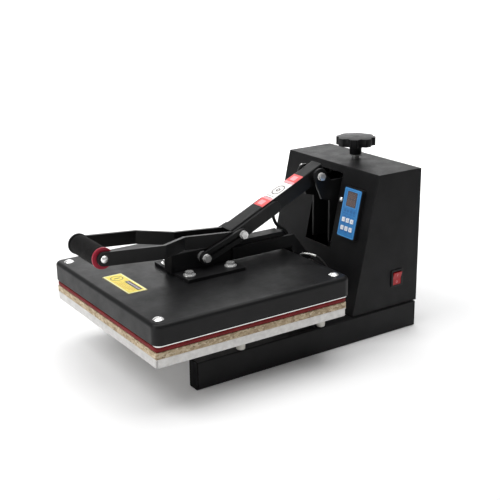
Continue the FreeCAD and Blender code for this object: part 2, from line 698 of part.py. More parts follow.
def carriage():
    """Two ears on a block that the spindle raises and lowers; the ears reach forward to the pivot."""
    ay, az = PIVOT_A
    outline = [(ay - EAR_R, az), (154, 281), (167, 251), (186, 246), (186, EAR_LOW),
               (CARRIAGE_Y[1], EAR_LOW), (CARRIAGE_Y[1], EAR_TOP), (189, EAR_TOP), (ay + EAR_R, az)]
    frame = box(-EAR_IN, EAR_IN, CARRIAGE_Y[0], CARRIAGE_Y[1], *BLOCK_Z)
    frame = frame.fuse(box(-EAR_IN, EAR_IN, CARRIAGE_Y[0], CARRIAGE_Y[1], TIE_Z, TIE_Z + TIE_T))
    for side in (-1, 1):
        x0, x1 = sorted((side * EAR_IN, side * EAR_OUT))
        ear = plate_x(outline, x0, x1).fuse(rod_x(x0, x1, ay, az, EAR_R))
        frame = frame.fuse(ear.cut(rod_x(x0, x1, ay, az, PIVOT_R)))
    frame = frame.fuse(rod_z(0, KNOB_Y, BLOCK_Z[0] - NUT_T, BLOCK_Z[0], NUT_R))
    frame = frame.cut(rod_z(0, KNOB_Y, BLOCK_Z[0] - NUT_T, BLOCK_Z[1], SPINDLE_R + RUN))
    return frame.cut(rod_z(0, KNOB_Y, TIE_Z, TIE_Z + TIE_T, SPINDLE_R + 1)).removeSplitter()


def through_bolt(pivot, reach):
    """Bolt along X between two outer faces: washer and hex head right, washer and nut left."""
    y, z = pivot
    shank = rod_x(-reach - WASHER_T - HEX_T, reach + WASHER_T, y, z, PIVOT_R)
    head = hex_x(reach + WASHER_T, reach + WASHER_T + HEX_T, y, z, HEX)
    bolt = shank.fuse(head)
    solids = [bolt]
    for x0, x1 in ((reach, reach + WASHER_T), (-reach - WASHER_T, -reach)):
        solids.append(rod_x(x0, x1, y, z, WASHER_R).cut(rod_x(x0, x1, y, z, PIVOT_R)))
    nut_x = -reach - WASHER_T
    nut = hex_x(nut_x - HEX_T, nut_x, y, z, HEX)
    solids.append(nut.cut(rod_x(nut_x - HEX_T, nut_x, y, z, PIVOT_R)))
    return solids


def pivot_bolt():
    """Upper pivot: bolt, nut, washers and the two spacers beside the lever."""
    y, z = PIVOT_A
    solids = through_bolt(PIVOT_A, EAR_OUT)
    for side in (-1, 1):
        x0, x1 = sorted((side * (LEVER_HALF + 0.4), side * EAR_IN))
        solids.append(rod_x(x0, x1, y, z, SPACER_R).cut(rod_x(x0, x1, y, z, PIVOT_R)))
    return group(solids)


# ---------------------------------------------------------------- lever and handle
def lever_channel():
    """Inverted U channel from the upper pivot down to the knee, trimmed level over the arm."""
    y0, y1 = -lever_len - LEVER_PAST_B, LEVER_PAST_A
    channel = box(-LEVER_HALF, LEVER_HALF, y0, y1, -LEVER_DOWN, LEVER_UP)
    channel = round_edges(channel, LEVER_BEND, lambda e: is_along(e, V(0, 1, 0)) and e.BoundBox.ZMin > 0)
    inner = LEVER_HALF - LEVER_WALL
    channel = channel.cut(box(-inner, inner, y0, y1, -LEVER_DOWN, LEVER_UP - LEVER_WALL))
    channel = channel.cut(rod_x(-LEVER_HALF, LEVER_HALF, 0, 0, PIVOT_R + RUN))
    channel = channel.cut(rod_x(-LEVER_HALF, LEVER_HALF, -lever_len, 0, KNEE_R))
    low = box(-LEVER_HALF, LEVER_HALF, PIVOT_B[0] - 30, PIVOT_B[0] + 30, ARM_Z, ARM_TOP + KNEE_CLEAR)
    return on_lever(channel).cut(low)


def ribbon(path, half):
    """Closed outline of a flat strip of even thickness along a path in plan."""
    left, right = [], []
    for i, (x, y) in enumerate(path):
        before = path[max(i - 1, 0)]
        after = path[min(i + 1, len(path) - 1)]
        d0 = V(x - before[0], y - before[1], 0)
        d1 = V(after[0] - x, after[1] - y, 0)
        d0 = d0 if d0.Length > 0 else d1
        d1 = d1 if d1.Length > 0 else d0
        d0.normalize()
        d1.normalize()
        n = V(-d0.y - d1.y, d0.x + d1.x, 0)
        n.normalize()
        reach = half / (n.x * -d0.y + n.y * d0.x)
        left.append((x + n.x * reach, y + n.y * reach))
        right.append((x - n.x * reach, y - n.y * reach))
    return left + right[::-1]


def right_leg():
    """Flat bar from the grip, bent inwards, then up along the side of the channel."""
    outer = LEG_OUT - LEG_T / 2
    inner = LEVER_HALF + LEG_T / 2
    path = [(outer, GRIP_Y), (outer, LEG_BEND_OUT), (inner, LEG_BEND_IN), (inner, BEND[0])]
    run = math.hypot(BEND[0] - GRIP_Y, GRIP_Z - BEND[1])
    stretch = run / (BEND[0] - GRIP_Y)
    flat = [(x, (y - GRIP_Y) * stretch) for x, y in path]
    low = plate_z(ribbon(flat, LEG_T / 2), -LEG_H / 2, LEG_H / 2)
    low = low.fuse(rod_x(outer - LEG_T / 2, LEG_OUT, 0, 0, LEG_H / 2))
    drop = math.degrees(math.atan2(GRIP_Z - BEND[1], BEND[0] - GRIP_Y))
    low.rotate(V(0, 0, 0), V(1, 0, 0), -drop)
    low.translate(V(0, GRIP_Y, GRIP_Z))
    x0, x1 = LEVER_HALF, LEVER_HALF + LEG_T
    low = low.fuse(rod_x(x0, x1, BEND[0], BEND[1], LEG_H / 2))
    along = math.hypot(PIVOT_A[0] - BEND[0], PIVOT_A[1] - BEND[1])
    high = box(x0, x1, -along, LEG_TOP, -LEG_H / 2, LEG_H / 2)
    high = high.fuse(rod_x(x0, x1, LEG_TOP, 0, LEG_H / 2))
    leg = low.fuse(on_lever(high))
    leg = leg.cut(rod_x(x0, x1, PIVOT_B[0], PIVOT_B[1], KNEE_R))
    return leg.cut(rod_x(LEG_OUT - LEG_T, LEG_OUT, GRIP_Y, GRIP_Z, 4)).removeSplitter()


def knee_spacer():
    """Pin through the channel and legs, flush with the legs, that the knee bolts face."""
    reach = LEVER_HALF + LEG_T - 0.1
    return rod_x(-reach, reach, PIVOT_B[0], PIVOT_B[1], KNEE_R)


def grip_tube():
    """Steel tube between the legs, bored for the grip bolts."""
    reach = LEG_OUT - LEG_T - 0.05
    return rod_x(-reach, reach, GRIP_Y, GRIP_Z, GRIP_TUBE_R).cut(rod_x(-reach, reach, GRIP_Y, GRIP_Z, 4))


def foam_grip():
    """Foam sleeve with softly rounded ends."""
    grip = rod_x(-GRIP_HALF, GRIP_HALF, GRIP_Y, GRIP_Z, GRIP_R)
    grip = round_edges(grip, 1.5, lambda e: e.BoundBox.XLength < 0.01)
    return grip.cut(rod_x(-GRIP_HALF, GRIP_HALF, GRIP_Y, GRIP_Z, GRIP_TUBE_R))


def grip_caps():
    """Two red flanged caps between the foam and the legs."""
    caps = []
    for side in (-1, 1):
        x0, x1 = sorted((side * (GRIP_HALF + 0.1), side * (LEG_OUT - LEG_T - 0.1)))
        cap = rod_x(x0, x1, GRIP_Y, GRIP_Z, GRIP_R + 0.5)
        caps.append(cap.cut(rod_x(x0, x1, GRIP_Y, GRIP_Z, GRIP_TUBE_R)))
    return group(caps)


def grip_bolts():
    """Two domed bolts that clamp the legs to the grip tube."""
    bolts = []
    r, h = 6.5, 4.0
    big = (r * r + h * h) / (2 * h)
    for side in (-1, 1):
        ball = Part.makeSphere(big, V(side * (LEG_OUT + h - big), GRIP_Y, GRIP_Z))
        x0, x1 = sorted((side * LEG_OUT, side * (LEG_OUT + h + 1)))
        head = ball.common(box(x0, x1, GRIP_Y - 9, GRIP_Y + 9, GRIP_Z - 9, GRIP_Z + 9))
        s0, s1 = sorted((side * 38.0, side * LEG_OUT))
        bolts.append(head.fuse(rod_x(s0, s1, GRIP_Y, GRIP_Z, 3.95)))
    return group(bolts)


# ---------------------------------------------------------------- knee links
def right_link():
    """Flat link with round ends; it turns on the lower bolt and carries the knee bolt."""
    x0, x1 = LINK_IN, LINK_IN + LINK_T
    r = LINK_W / 2
    link = box(x0, x1, 0, link_len, -r, r)
    link = link.fuse([rod_x(x0, x1, 0, 0, r), rod_x(x0, x1, link_len, 0, r)])
    link = link.cut(rod_x(x0, x1, 0, 0, PIVOT_R + RUN)).cut(rod_x(x0, x1, link_len, 0, PIVOT_R))
    link = link.removeSplitter()
    link.rotate(V(0, 0, 0), V(1, 0, 0), link_angle)
    link.translate(V(0, PIVOT_C[0], PIVOT_C[1]))
    return link


def knee_bolts():
    """A shouldered bolt in the upper eye of each link, ending short of the lever."""
    y, z = PIVOT_B
    bolts = []
    x0 = LINK_IN - 0.2
    x1 = LINK_IN + LINK_T
    for side in (-1, 1):
        bolt = rod_x(x0, x1 + WASHER_T, y, z, PIVOT_R)
        bolt = bolt.fuse(rod_x(x1, x1 + WASHER_T, y, z, WASHER_R))
        bolt = bolt.fuse(hex_x(x1 + WASHER_T, x1 + WASHER_T + HEX_T, y, z, HEX)).removeSplitter()
        bolts.append(bolt if side > 0 else mirror(bolt))
    return group(bolts)


# ---------------------------------------------------------------- head
def mount_bolt_places():
    return [(x, y) for x in (-MOUNT_BOLT_X, MOUNT_BOLT_X) for y in MOUNT_BOLT_Y]


def cover_screw_places():
    return [(sx * COVER_SCREW_X, COVER_Y + sy * COVER_SCREW_Y) for sx in (-1, 1) for sy in (-1, 1)]


def head_cover():
    """Pressed sheet cover, open below, with rounded corners and top edges."""
    h = COVER_SIDE / 2
    y0, y1 = COVER_Y - h, COVER_Y + h
    t = COVER_SHEET
    shell = box(-h, h, y0, y1, COVER_Z, COVER_TOP)
    shell = round_edges(shell, COVER_CORNER_R, lambda e: is_along(e, V(0, 0, 1)))
    shell = round_edges(shell, COVER_EDGE_R, lambda e: e.BoundBox.ZMin > COVER_TOP - 0.01)
    hollow = box(-h + t, h - t, y0 + t, y1 - t, COVER_Z, COVER_TOP - t)
    hollow = round_edges(hollow, COVER_CORNER_R - t, lambda e: is_along(e, V(0, 0, 1)))
    hollow = round_edges(hollow, COVER_EDGE_R - t, lambda e: e.BoundBox.ZMin > COVER_TOP - t - 0.01)
    shell = shell.cut(hollow)
    for x, y in mount_bolt_places():
        shell = shell.cut(rod_z(x, y, COVER_TOP - 5, COVER_TOP + 1, PIVOT_R))
    for x, y in cover_screw_places():
        shell = shell.cut(rod_z(x, y, COVER_TOP - 5, COVER_TOP + 1, 3))
    gland, thermo = gland_place(), THERMO_ROUTE[0]
    shell = shell.cut(rod_y(gland[0], y1 - 5, y1 + 1, gland[2], GLAND_R - 2))
    return shell.cut(rod_y(thermo[0], y1 - 5, y1 + 1, thermo[2], FERRULE_R - 1))


def insulation():
    """Ceramic wool pad over the heater plate."""
    low, high = HEATER_Z + HEATER_H + 0.1, COVER_TOP - COVER_SHEET - 1
    side = WOOL_HALF
    pad = box(-side, side, PLATEN_Y - side, PLATEN_Y + side, low, high)
    for x, y in mount_bolt_places():
        pad = pad.cut(rod_z(x, y, COVER_Z, COVER_TOP, PIVOT_R + 0.2))
    return pad


def mounting_plate():
    """Steel plate that spreads the arm's load over the cover."""
    plate = box(-MOUNT_HALF_X, MOUNT_HALF_X, MOUNT_FRONT, MOUNT_BACK, COVER_TOP, ARM_Z)
    plate = round_edges(plate, 2, lambda e: is_along(e, V(0, 0, 1)))
    for x, y in mount_bolt_places():
        plate = plate.cut(rod_z(x, y, COVER_TOP, ARM_Z, PIVOT_R))
    return plate


def plate_bolts():
    """Four hex bolts with wide washers, down to the heater plate."""
    solids = []
    low = HEATER_Z + HEATER_H + 0.05
    for x, y in mount_bolt_places():
        seat = ARM_Z + WIDE_WASHER_T
        washer = rod_z(x, y, ARM_Z, seat, WIDE_WASHER_R).cut(rod_z(x, y, ARM_Z, seat, PIVOT_R))
        bolt = rod_z(x, y, low, seat, PIVOT_R).fuse(hex_z(x, y, seat, seat + HEX_T, HEX))
        solids += [washer, bolt]
    return group(solids)


def cover_screws():
    """Four domed screws near the corners of the cover."""
    r, h = COVER_SCREW_R, COVER_SCREW_H
    big = (r * r + h * h) / (2 * h)
    screws = []
    for x, y in cover_screw_places():
        ball = Part.makeSphere(big, V(x, y, COVER_TOP + h - big))
        head = ball.common(box(x - r, x + r, y - r, y + r, COVER_TOP, COVER_TOP + h + 1))
        screws.append(head.fuse(rod_z(x, y, HEATER_Z + HEATER_H + 0.05, COVER_TOP, 3)))
    return group(screws)


def head_arm():
    """Box channel on the mounting plate, closed on top and in front."""
    arm = box(-ARM_HALF, ARM_HALF, ARM_FRONT, ARM_BACK, ARM_Z, ARM_TOP)
    arm = round_edges(arm, 4, lambda e: e.BoundBox.YMax < ARM_FRONT + 1 and is_along(e, V(0, 0, 1)))
    arm = round_edges(arm, 2.5, lambda e: e.BoundBox.ZMin > ARM_TOP - 0.01)
    w = ARM_WALL
    arm = arm.cut(box(-ARM_HALF + w, ARM_HALF - w, ARM_FRONT + w, ARM_BACK, ARM_Z, ARM_TOP - w))
    return arm.cut(rod_x(-ARM_HALF, ARM_HALF, PIVOT_C[0], PIVOT_C[1], PIVOT_R))


def hinge_cheeks():
    """Two plates on the sides of the arm that reach down behind the cover to the hinge shaft."""
    y, z = PIVOT_D
    front, back = CHEEK_Y
    low, high = CHEEK_Z
    outline = [(front, low), (front, high), (back, high), (y + CHEEK_R - 1, z + 5),
               (y - CHEEK_R + 2, z - 7), (back - 3, low - 5), (back - 4, low)]
    plates = []
    for side in (-1, 1):
        x0, x1 = sorted((side * CHEEK_IN, side * CHEEK_OUT))
        cheek = plate_x(outline, x0, x1).fuse(rod_x(x0, x1, y, z, CHEEK_R)).removeSplitter()
        plates.append(cheek.cut(rod_x(x0, x1, y, z, BUSH_R)))
    return group(plates)


def hinge_bushes():
    """Two bronze bushes in the cheeks, running on the hinge shaft."""
    y, z = PIVOT_D
    bushes = []
    for side in (-1, 1):
        x0, x1 = sorted((side * (CHEEK_IN - 0.6), side * (CHEEK_OUT + 0.9)))
        bushes.append(rod_x(x0, x1, y, z, BUSH_R).cut(rod_x(x0, x1, y, z, SHAFT_R + RUN)))
    return group(bushes)


def link_bolt():
    """Lower link pivot: through bolt with nut and washers, held in the arm."""
    return group(through_bolt(PIVOT_C, LINK_IN + LINK_T + 0.3))


def link_bushes():
    """Bright spacer bushes between the arm and the links."""
    y, z = PIVOT_C
    bushes = []
    for side in (-1, 1):
        x0, x1 = sorted((side * ARM_HALF, side * (LINK_IN - 0.3)))
        bushes.append(rod_x(x0, x1, y, z, 10).cut(rod_x(x0, x1, y, z, PIVOT_R)))
    return group(bushes)


def gland_place():
    """Middle of the elbow of the heater lead's gland, 45 degrees down the nose from the lead's start."""
    x, y, z = LEAD_ROUTE[0]
    step = GLAND_NOSE / math.sqrt(2)
    return x, y - step, z - step


def lead_glands():
    """Elbow gland of the heater lead and ferrule of the thermocouple lead, on the back of the cover."""
    back = COVER_Y + COVER_SIDE / 2
    x, y, z = gland_place()
    gland = rod_y(x, back - 4, back, z, GLAND_R - 2).fuse(rod_y(x, back, y, z, GLAND_R))
    nose = Part.makeCylinder(GLAND_NOSE_R, GLAND_NOSE, V(x, y, z), V(0, 1, 1))
    gland = gland.fuse([nose, Part.makeSphere(GLAND_R, V(x, y, z))]).removeSplitter()
    x, y, z = THERMO_ROUTE[0]
    ferrule = rod_y(x, back - 4, back, z, FERRULE_R - 1).fuse(rod_y(x, back, y, z, FERRULE_R))
    return group([gland, ferrule])


# ---------------------------------------------------------------- leads
def lead(name, route, radius):
    """Tube along straight runs joined by tangent arcs; prints its length, volume share and radii."""
    pts = [V(*p) for p in route]
    edges = []
    radii = []
    start = pts[0]
    for before, corner, after in zip(pts, pts[1:], pts[2:]):
        back, ahead = before - corner, after - corner
        shorter = min(back.Length, ahead.Length)
        back.normalize()
        ahead.normalize()
        turn = math.pi - back.getAngle(ahead)
        cut = 0.45 * shorter
        radii.append(cut / math.tan(turn / 2))
        into, out = corner + back * cut, corner + ahead * cut
        middle_way = back + ahead
        middle_way.normalize()
        centre_far = math.hypot(radii[-1], cut)
        middle = corner + middle_way * (centre_far - radii[-1])
        edges.append(Part.LineSegment(start, into).toShape())
        edges.append(Part.Arc(into, middle, out).toShape())
        start = out
    edges.append(Part.LineSegment(start, pts[-1]).toShape())
    path = Part.Wire(edges)
    first = pts[1] - pts[0]
    ring = Part.Wire(Part.makeCircle(radius, pts[0], first))
    tube = path.makePipeShell([ring], True, True)
    length = sum(e.Length for e in edges)
    share = tube.Volume / (math.pi * radius ** 2 * length)
    print(name, "length", round(length, 1), "volume share", round(share, 4))
    print("radii", [round(r, 1) for r in radii])
    return tube


# ---------------------------------------------------------------- all nodes
def build():
    nodes["base_beam_left"] = base_beam(-1)
    nodes["base_beam_right"] = base_beam(1)
    nodes["beam_end_caps"] = beam_end_caps()
    nodes["cross_tubes"] = cross_tubes()
    nodes["tower_floor"] = tower_floor()
    nodes["hinge_bracket"] = hinge_bracket()
    nodes["hinge_shaft"] = hinge_shaft()
    nodes["lower_platen"] = lower_platen()
    nodes["particle_board"] = square_sheet(PLATEN, PLATEN_Y, BOARD_Z, BOARD_H, 1.0)
    nodes["silicone_pad"] = square_sheet(PLATEN, PLATEN_Y, PAD_Z, PAD_H, 2.0)
    nodes["platen_posts"] = platen_posts()
    nodes["tower_shell"] = tower_shell()
    nodes["back_panel"] = back_panel()
    nodes["panel_screws"] = panel_screws()
    nodes["guide_rails"] = guide_rails()
    nodes["spindle_bush"] = spindle_bush()
    nodes["power_inlet"] = power_inlet()
    nodes["fuse_holder"] = fuse_holder()
    nodes["switch_bezel"] = switch_bezel()
    nodes["controller_housing"] = controller_housing()
    nodes["controller_face"] = controller_face()
    nodes["display_window"] = display_window()
    nodes["control_board"] = control_board()
    nodes["heater_relay"] = heater_relay()
    nodes["power_rocker"] = power_rocker()
    for number, (dx, dz) in enumerate(key_places(), 1):
        nodes["control_key_%d" % number] = control_key(dx, dz)
    nodes["pressure_knob"] = pressure_knob()
    nodes["spindle"] = spindle()
    nodes["carriage"] = carriage()
    nodes["pivot_bolt"] = pivot_bolt()
    nodes["lever_channel"] = lever_channel()
    nodes["right_leg"] = right_leg()
    nodes["left_leg"] = mirror(nodes["right_leg"])
    nodes["knee_spacer"] = knee_spacer()
    nodes["grip_tube"] = grip_tube()
    nodes["foam_grip"] = foam_grip()
    nodes["grip_caps"] = grip_caps()
    nodes["grip_bolts"] = grip_bolts()
    nodes["right_link"] = right_link()
    nodes["left_link"] = mirror(nodes["right_link"])
    nodes["knee_bolts"] = knee_bolts()
    nodes["head_cover"] = head_cover()
    nodes["cover_screws"] = cover_screws()
    nodes["heater_plate"] = square_sheet(HEATER_SIDE, COVER_Y, HEATER_Z, HEATER_H, HEATER_CORNER_R)
    nodes["insulation"] = insulation()
    nodes["mounting_plate"] = mounting_plate()
    nodes["plate_bolts"] = plate_bolts()
    nodes["head_arm"] = head_arm()
    nodes["hinge_cheeks"] = hinge_cheeks()
    nodes["hinge_bushes"] = hinge_bushes()
    nodes["link_bolt"] = link_bolt()
    nodes["link_bushes"] = link_bushes()
    nodes["lead_glands"] = lead_glands()
    nodes["heater_lead"] = lead("heater_lead", LEAD_ROUTE, LEAD_R)
    nodes["thermocouple_lead"] = lead("thermocouple_lead", THERMO_ROUTE, THERMO_R)


def write():
    os.makedirs("parts", exist_ok=True)
    whole = FreeCAD.BoundBox()
    for name, shape in nodes.items():
        if not shape.isValid() or not shape.Solids:
            print("CHECK", name, "valid", shape.isValid(), "solids", len(shape.Solids))
        whole.add(shape.optimalBoundingBox(True, False))
        shape.exportStep("parts/%s.step" % name)
    print(len(nodes), "nodes")
    print("size", [round(v, 2) for v in (whole.XLength, whole.YLength, whole.ZLength)])
    print("middle", [round(v, 2) for v in (whole.Center.x, whole.Center.y)], "low", round(whole.ZMin, 3))


build()
write()
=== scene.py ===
"""Clamshell heat press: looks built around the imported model. Metres; X right, Y back, Z up."""
import math

import bmesh
import bpy
from mathutils import Matrix, Vector, noise
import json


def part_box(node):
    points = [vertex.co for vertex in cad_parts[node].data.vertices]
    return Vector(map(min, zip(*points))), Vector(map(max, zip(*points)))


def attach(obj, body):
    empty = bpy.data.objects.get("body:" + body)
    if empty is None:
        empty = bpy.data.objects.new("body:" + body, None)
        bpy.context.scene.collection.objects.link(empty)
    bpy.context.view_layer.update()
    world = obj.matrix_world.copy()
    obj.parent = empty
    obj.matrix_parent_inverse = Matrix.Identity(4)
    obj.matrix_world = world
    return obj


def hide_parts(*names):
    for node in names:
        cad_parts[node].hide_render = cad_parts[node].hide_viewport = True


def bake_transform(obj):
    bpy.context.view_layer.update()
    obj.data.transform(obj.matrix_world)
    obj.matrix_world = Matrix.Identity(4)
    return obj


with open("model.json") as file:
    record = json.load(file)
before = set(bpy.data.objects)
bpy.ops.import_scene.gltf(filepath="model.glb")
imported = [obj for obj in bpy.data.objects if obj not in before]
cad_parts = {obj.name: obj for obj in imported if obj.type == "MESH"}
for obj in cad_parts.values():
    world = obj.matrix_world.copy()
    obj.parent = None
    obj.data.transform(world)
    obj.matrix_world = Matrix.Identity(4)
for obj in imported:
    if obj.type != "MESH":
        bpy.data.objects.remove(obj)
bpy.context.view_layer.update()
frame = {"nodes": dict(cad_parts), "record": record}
NODES = frame["nodes"]
MM = 0.001

# camera
CAMERA_AT = (1.4233, -0.9282, 0.7409)
CAMERA_AZIMUTH = 56.311
CAMERA_ELEVATION = 18.402
CAMERA_ROLL = -0.762
LENS = 69.95
SENSOR = 36.0
CLIP = (0.05, 30.0)

# pivots of the handle linkage, as (y, z)
PIVOT_A = (0.164, 0.296)
PIVOT_B = (-0.012, 0.215)
LEVER_TOP = 0.015
LEVER_HALF = 0.015
LEVER_ANGLE = math.atan2(PIVOT_A[1] - PIVOT_B[1], PIVOT_A[0] - PIVOT_B[0])

# sloped front of the tower
SLOPE = math.atan2(57.0, 262.0)
PANEL_AT = (0.0865, 0.155 + math.tan(SLOPE) * 0.1824, 0.2324)
FACE_Y = -0.0098

# axis and tilt of the power rocker; its profile as (out, up) from the axis, in millimetres
ROCKER_AT = (0.135, 0.262, 0.106)
ROCKER_TILT = 8.0
ROCKER_LOW = (5.4, -12.4)
ROCKER_WAIST = (3.6, 0.0)
ROCKER_HIGH = (5.4, 12.4)

# routes of the two leads, in millimetres
LEAD_ROUTE = [(-33, 119, 152), (-33, 131, 164), (-33, 127, 183), (-33, 104, 196), (-33, 94, 222),
              (-33, 106, 252), (-33, 138, 268), (-33, 174, 262), (-33, 206, 244), (-44, 228, 216),
              (-56, 234, 182), (-68, 232, 148), (-80, 222, 118), (-80, 222, 88)]
THERMO_ROUTE = [(25.5, 105, 137), (25.5, 115.5, 137), (25, 116.5, 154.7), (61.6, 129.7, 157),
                (71, 142, 140), (76, 154, 118), (76, 180, 118)]
LEAD_R = 0.003
THERMO_R = 0.0015
SLEEVE_T = 0.0005

# part of the thermocouple lead with a bright metal sleeve, between two X, and above a height; the
# sleeve sits only where a highlight falls on the lead and partly stands for that painted highlight
THERMO_HIGHLIGHT_SLEEVE = (0.0265, 0.0600)
THERMO_HIGHLIGHT_SLEEVE_LOW = 0.150

# foam grip: bore and depth of its lumps; waves per metre in the faces of the soft sheets
FOAM_BORE = 0.0081
FOAM_LUMPS = (0.00022, 0.00009)
RIPPLE = (18, 18, 40)

# label on the cover: middle, half sizes with corner, thickness; its round mark and its bar
LABEL_AT = (-0.0055, -0.2365)
LABEL_SIZE = (0.0510, 0.0190, 0.0020)
LABEL_INSET = (0.0496, 0.0176, 0.0014)
LABEL_T = 0.00025
LABEL_MARK = (-0.0300, 0.0)
LABEL_BAR = (0.0175, 0.0080)
LABEL_PRINT_T = 0.00007

# sticker on the lever: fold radius of the channel, lift off it, thickness, middle of its ring
CHANNEL_FOLD = 0.003
STICKER_LIFT = 0.00015
STICKER_T = 0.00018
STICKER_PRINT = (0.00034, 0.00040)
STICKER_RING = (0.0, -0.0795)

# controller drawing, from the middle of its face: keys, small marks, display and its figures
KEY_PITCH = 0.01175
KEY_ROWS = (-0.0138, -0.0293)
KEY_PROUD = 0.0014
MARK_PITCH = 0.009
MARK_ROWS = (0.0035, -0.0020)
DASH_ROWS = (-0.0070, -0.0362)
DISPLAY_AT = (0.0, 0.026)
DISPLAY_PROUD = 0.0003
FIGURE_PITCH = 0.0078
FIGURE_ROWS = (0.0325, 0.0195)
FIGURE_SIZE = (0.0046, 0.0092)
FIGURE_STROKE = 0.0011
FIGURE_T = 0.00006
LINE_T = 0.00012
PRINT_T = 0.0001
ROCKER_PRINT_T = 0.00008

# floor, in the camera's heading: half width, where it turns up, radius and height of the wall
FLOOR_HALF = 6.0
FLOOR_BACK = 2.6
FLOOR_BEND = 1.2
WALL_TOP = 4.0

# lights as place, aim, size and watts
WORLD_STRENGTH = 0.22
LIGHTS = {
    "key": ((-0.5, -1.7, 3.0), (0, 0, 0.15), (1.8, 1.8), 50.0),
    "fill": ((2.4, -0.4, 1.6), (0, 0, 0.15), (1.6, 1.6), 2.0),
    "front": ((0.1, -2.3, 0.7), (0, 0, 0.1), (1.2, 0.7), 13.0),
    "top": ((0.2, 0.4, 2.8), (0, 0, 0.1), (2.2, 2.2), 46.0),
    "backdrop": ((-1.33, 0.885, 2.3), (-3.07, 2.05, 0.3), (3.0, 1.0), 90.0),
}


# ---------------------------------------------------------------- materials
class Look:
    """A procedural material. Its patterns use the piece's own coordinates, in metres."""

    def __init__(self, name):
        self.mat = bpy.data.materials.new(name)
        self.mat.use_nodes = True
        self.tree = self.mat.node_tree
        self.shader = self.tree.nodes["Principled BSDF"]
        self.coord = self.add("ShaderNodeTexCoord").outputs["Object"]

    def add(self, kind, **settings):
        made = self.tree.nodes.new(kind)
        for key, value in settings.items():
            setattr(made, key, value)
        return made

    def link(self, a, b):
        self.tree.links.new(a, b)

    def set(self, **values):
        for key, value in values.items():
            self.shader.inputs[key.replace("_", " ")].default_value = value

    def place(self, stretch):
        """Coordinates stretched by a factor on each axis."""
        if stretch is None:
            return self.coord
        made = self.add("ShaderNodeMapping")
        made.inputs["Scale"].default_value = stretch
        self.link(self.coord, made.inputs["Vector"])
        return made.outputs["Vector"]

    def noise(self, scale, detail=2.0, rough=0.5, stretch=None):
        made = self.add("ShaderNodeTexNoise")
        made.inputs["Scale"].default_value = scale
        made.inputs["Detail"].default_value = detail
        made.inputs["Roughness"].default_value = rough
        self.link(self.place(stretch), made.inputs["Vector"])
        return made.outputs["Fac"]

    def cells(self, scale, output, stretch=None):
        made = self.add("ShaderNodeTexVoronoi")
        made.inputs["Scale"].default_value = scale
        self.link(self.place(stretch), made.inputs["Vector"])
        return made.outputs[output]

    def span(self, fac, low, high, start=0.3, end=0.7):
        """Maps start to end onto low to high and cuts off beyond."""
        made = self.add("ShaderNodeMapRange")
        made.inputs["From Min"].default_value = start
        made.inputs["From Max"].default_value = end
        made.inputs["To Min"].default_value = low
        made.inputs["To Max"].default_value = high
        self.link(fac, made.inputs["Value"])
        return made.outputs["Result"]

    def ramp(self, fac, stops):
        """Colours at positions between 0 and 1."""
        made = self.add("ShaderNodeValToRGB")
        ramp = made.color_ramp
        while len(ramp.elements) < len(stops):
            ramp.elements.new(0.5)
        for element, (at, colour) in zip(ramp.elements, stops):
            element.position = at
            element.color = (*colour, 1.0)
        self.link(fac, made.inputs["Fac"])
        return made.outputs["Color"]

    def mix(self, fac, a, b):
        made = self.add("ShaderNodeMix", data_type="RGBA")
        for socket, value in (("A", a), ("B", b)):
            target = [s for s in made.inputs if s.name == socket and s.type == "RGBA"][0]
            if isinstance(value, tuple):
                target.default_value = (*value, 1.0)
            else:
                self.link(value, target)
        self.link(fac, made.inputs["Factor"])
        return [s for s in made.outputs if s.type == "RGBA"][0]

    def sum(self, a, b, operation="ADD"):
        made = self.add("ShaderNodeMath", operation=operation)
        for socket, value in zip(made.inputs, (a, b)):
            if isinstance(value, float):
                socket.default_value = value
            else:
                self.link(value, socket)
        return made.outputs["Value"]

    def edges(self, radius, sharp=0.06):
        """Mask that is 1 on the pieces' sharp edges, where the pale edge colour goes."""
        soft = self.add("ShaderNodeBevel", samples=6)
        soft.inputs["Radius"].default_value = radius
        plain = self.add("ShaderNodeNewGeometry")
        dot = self.add("ShaderNodeVectorMath", operation="DOT_PRODUCT")
        self.link(soft.outputs["Normal"], dot.inputs[0])
        self.link(plain.outputs["Normal"], dot.inputs[1])
        return self.span(dot.outputs["Value"], 1.0, 0.0, 1.0 - sharp, 1.0)

    def colour(self, socket):
        self.link(socket, self.shader.inputs["Base Color"])

    def rough(self, socket):
        self.link(socket, self.shader.inputs["Roughness"])

    def bump(self, layers):
        """Adds bump layers given as (height, strength, distance)."""
        last = None
        for height, strength, distance in layers:
            made = self.add("ShaderNodeBump")
            made.inputs["Strength"].default_value = strength
            made.inputs["Distance"].default_value = distance
            self.link(height, made.inputs["Height"])
            if last is not None:
                self.link(last, made.inputs["Normal"])
            last = made.outputs["Normal"]
        self.link(last, self.shader.inputs["Normal"])


def painted(name, dark, light, rough, grain, pale_edge=0.5, gloss=0.2, edge_wear_and_highlight=(0.10, 0.10, 0.10)):
    """Powder coat: orange peel, faint mottling, handling marks and pale edges, partly worn paint and
    partly a painted highlight along the edges.
    """
    look = Look(name)
    look.set(Specular_IOR_Level=gloss)
    mottle = look.noise(14.0, 4.0, 0.6)
    base = look.mix(look.span(mottle, 0.0, 1.0), dark, light)
    scuff = look.noise(55.0, 6.0, 0.7, (1.0, 0.35, 1.0))
    # pale edges: partly worn paint, partly a painted highlight on the sharp edges
    edge = look.sum(look.edges(0.0012), look.span(scuff, 0.0, pale_edge, 0.45, 0.7), "MULTIPLY")
    look.colour(look.mix(edge, base, edge_wear_and_highlight))
    patchy = look.span(look.noise(30.0, 5.0, 0.65), *rough)
    look.rough(look.sum(patchy, look.span(scuff, 0.0, 0.06), "ADD"))
    peel = look.noise(grain, 2.0, 0.5)
    look.bump([(peel, 0.35, 0.00012), (look.noise(grain * 0.28, 1.0), 0.12, 0.0003)])
    return look.mat


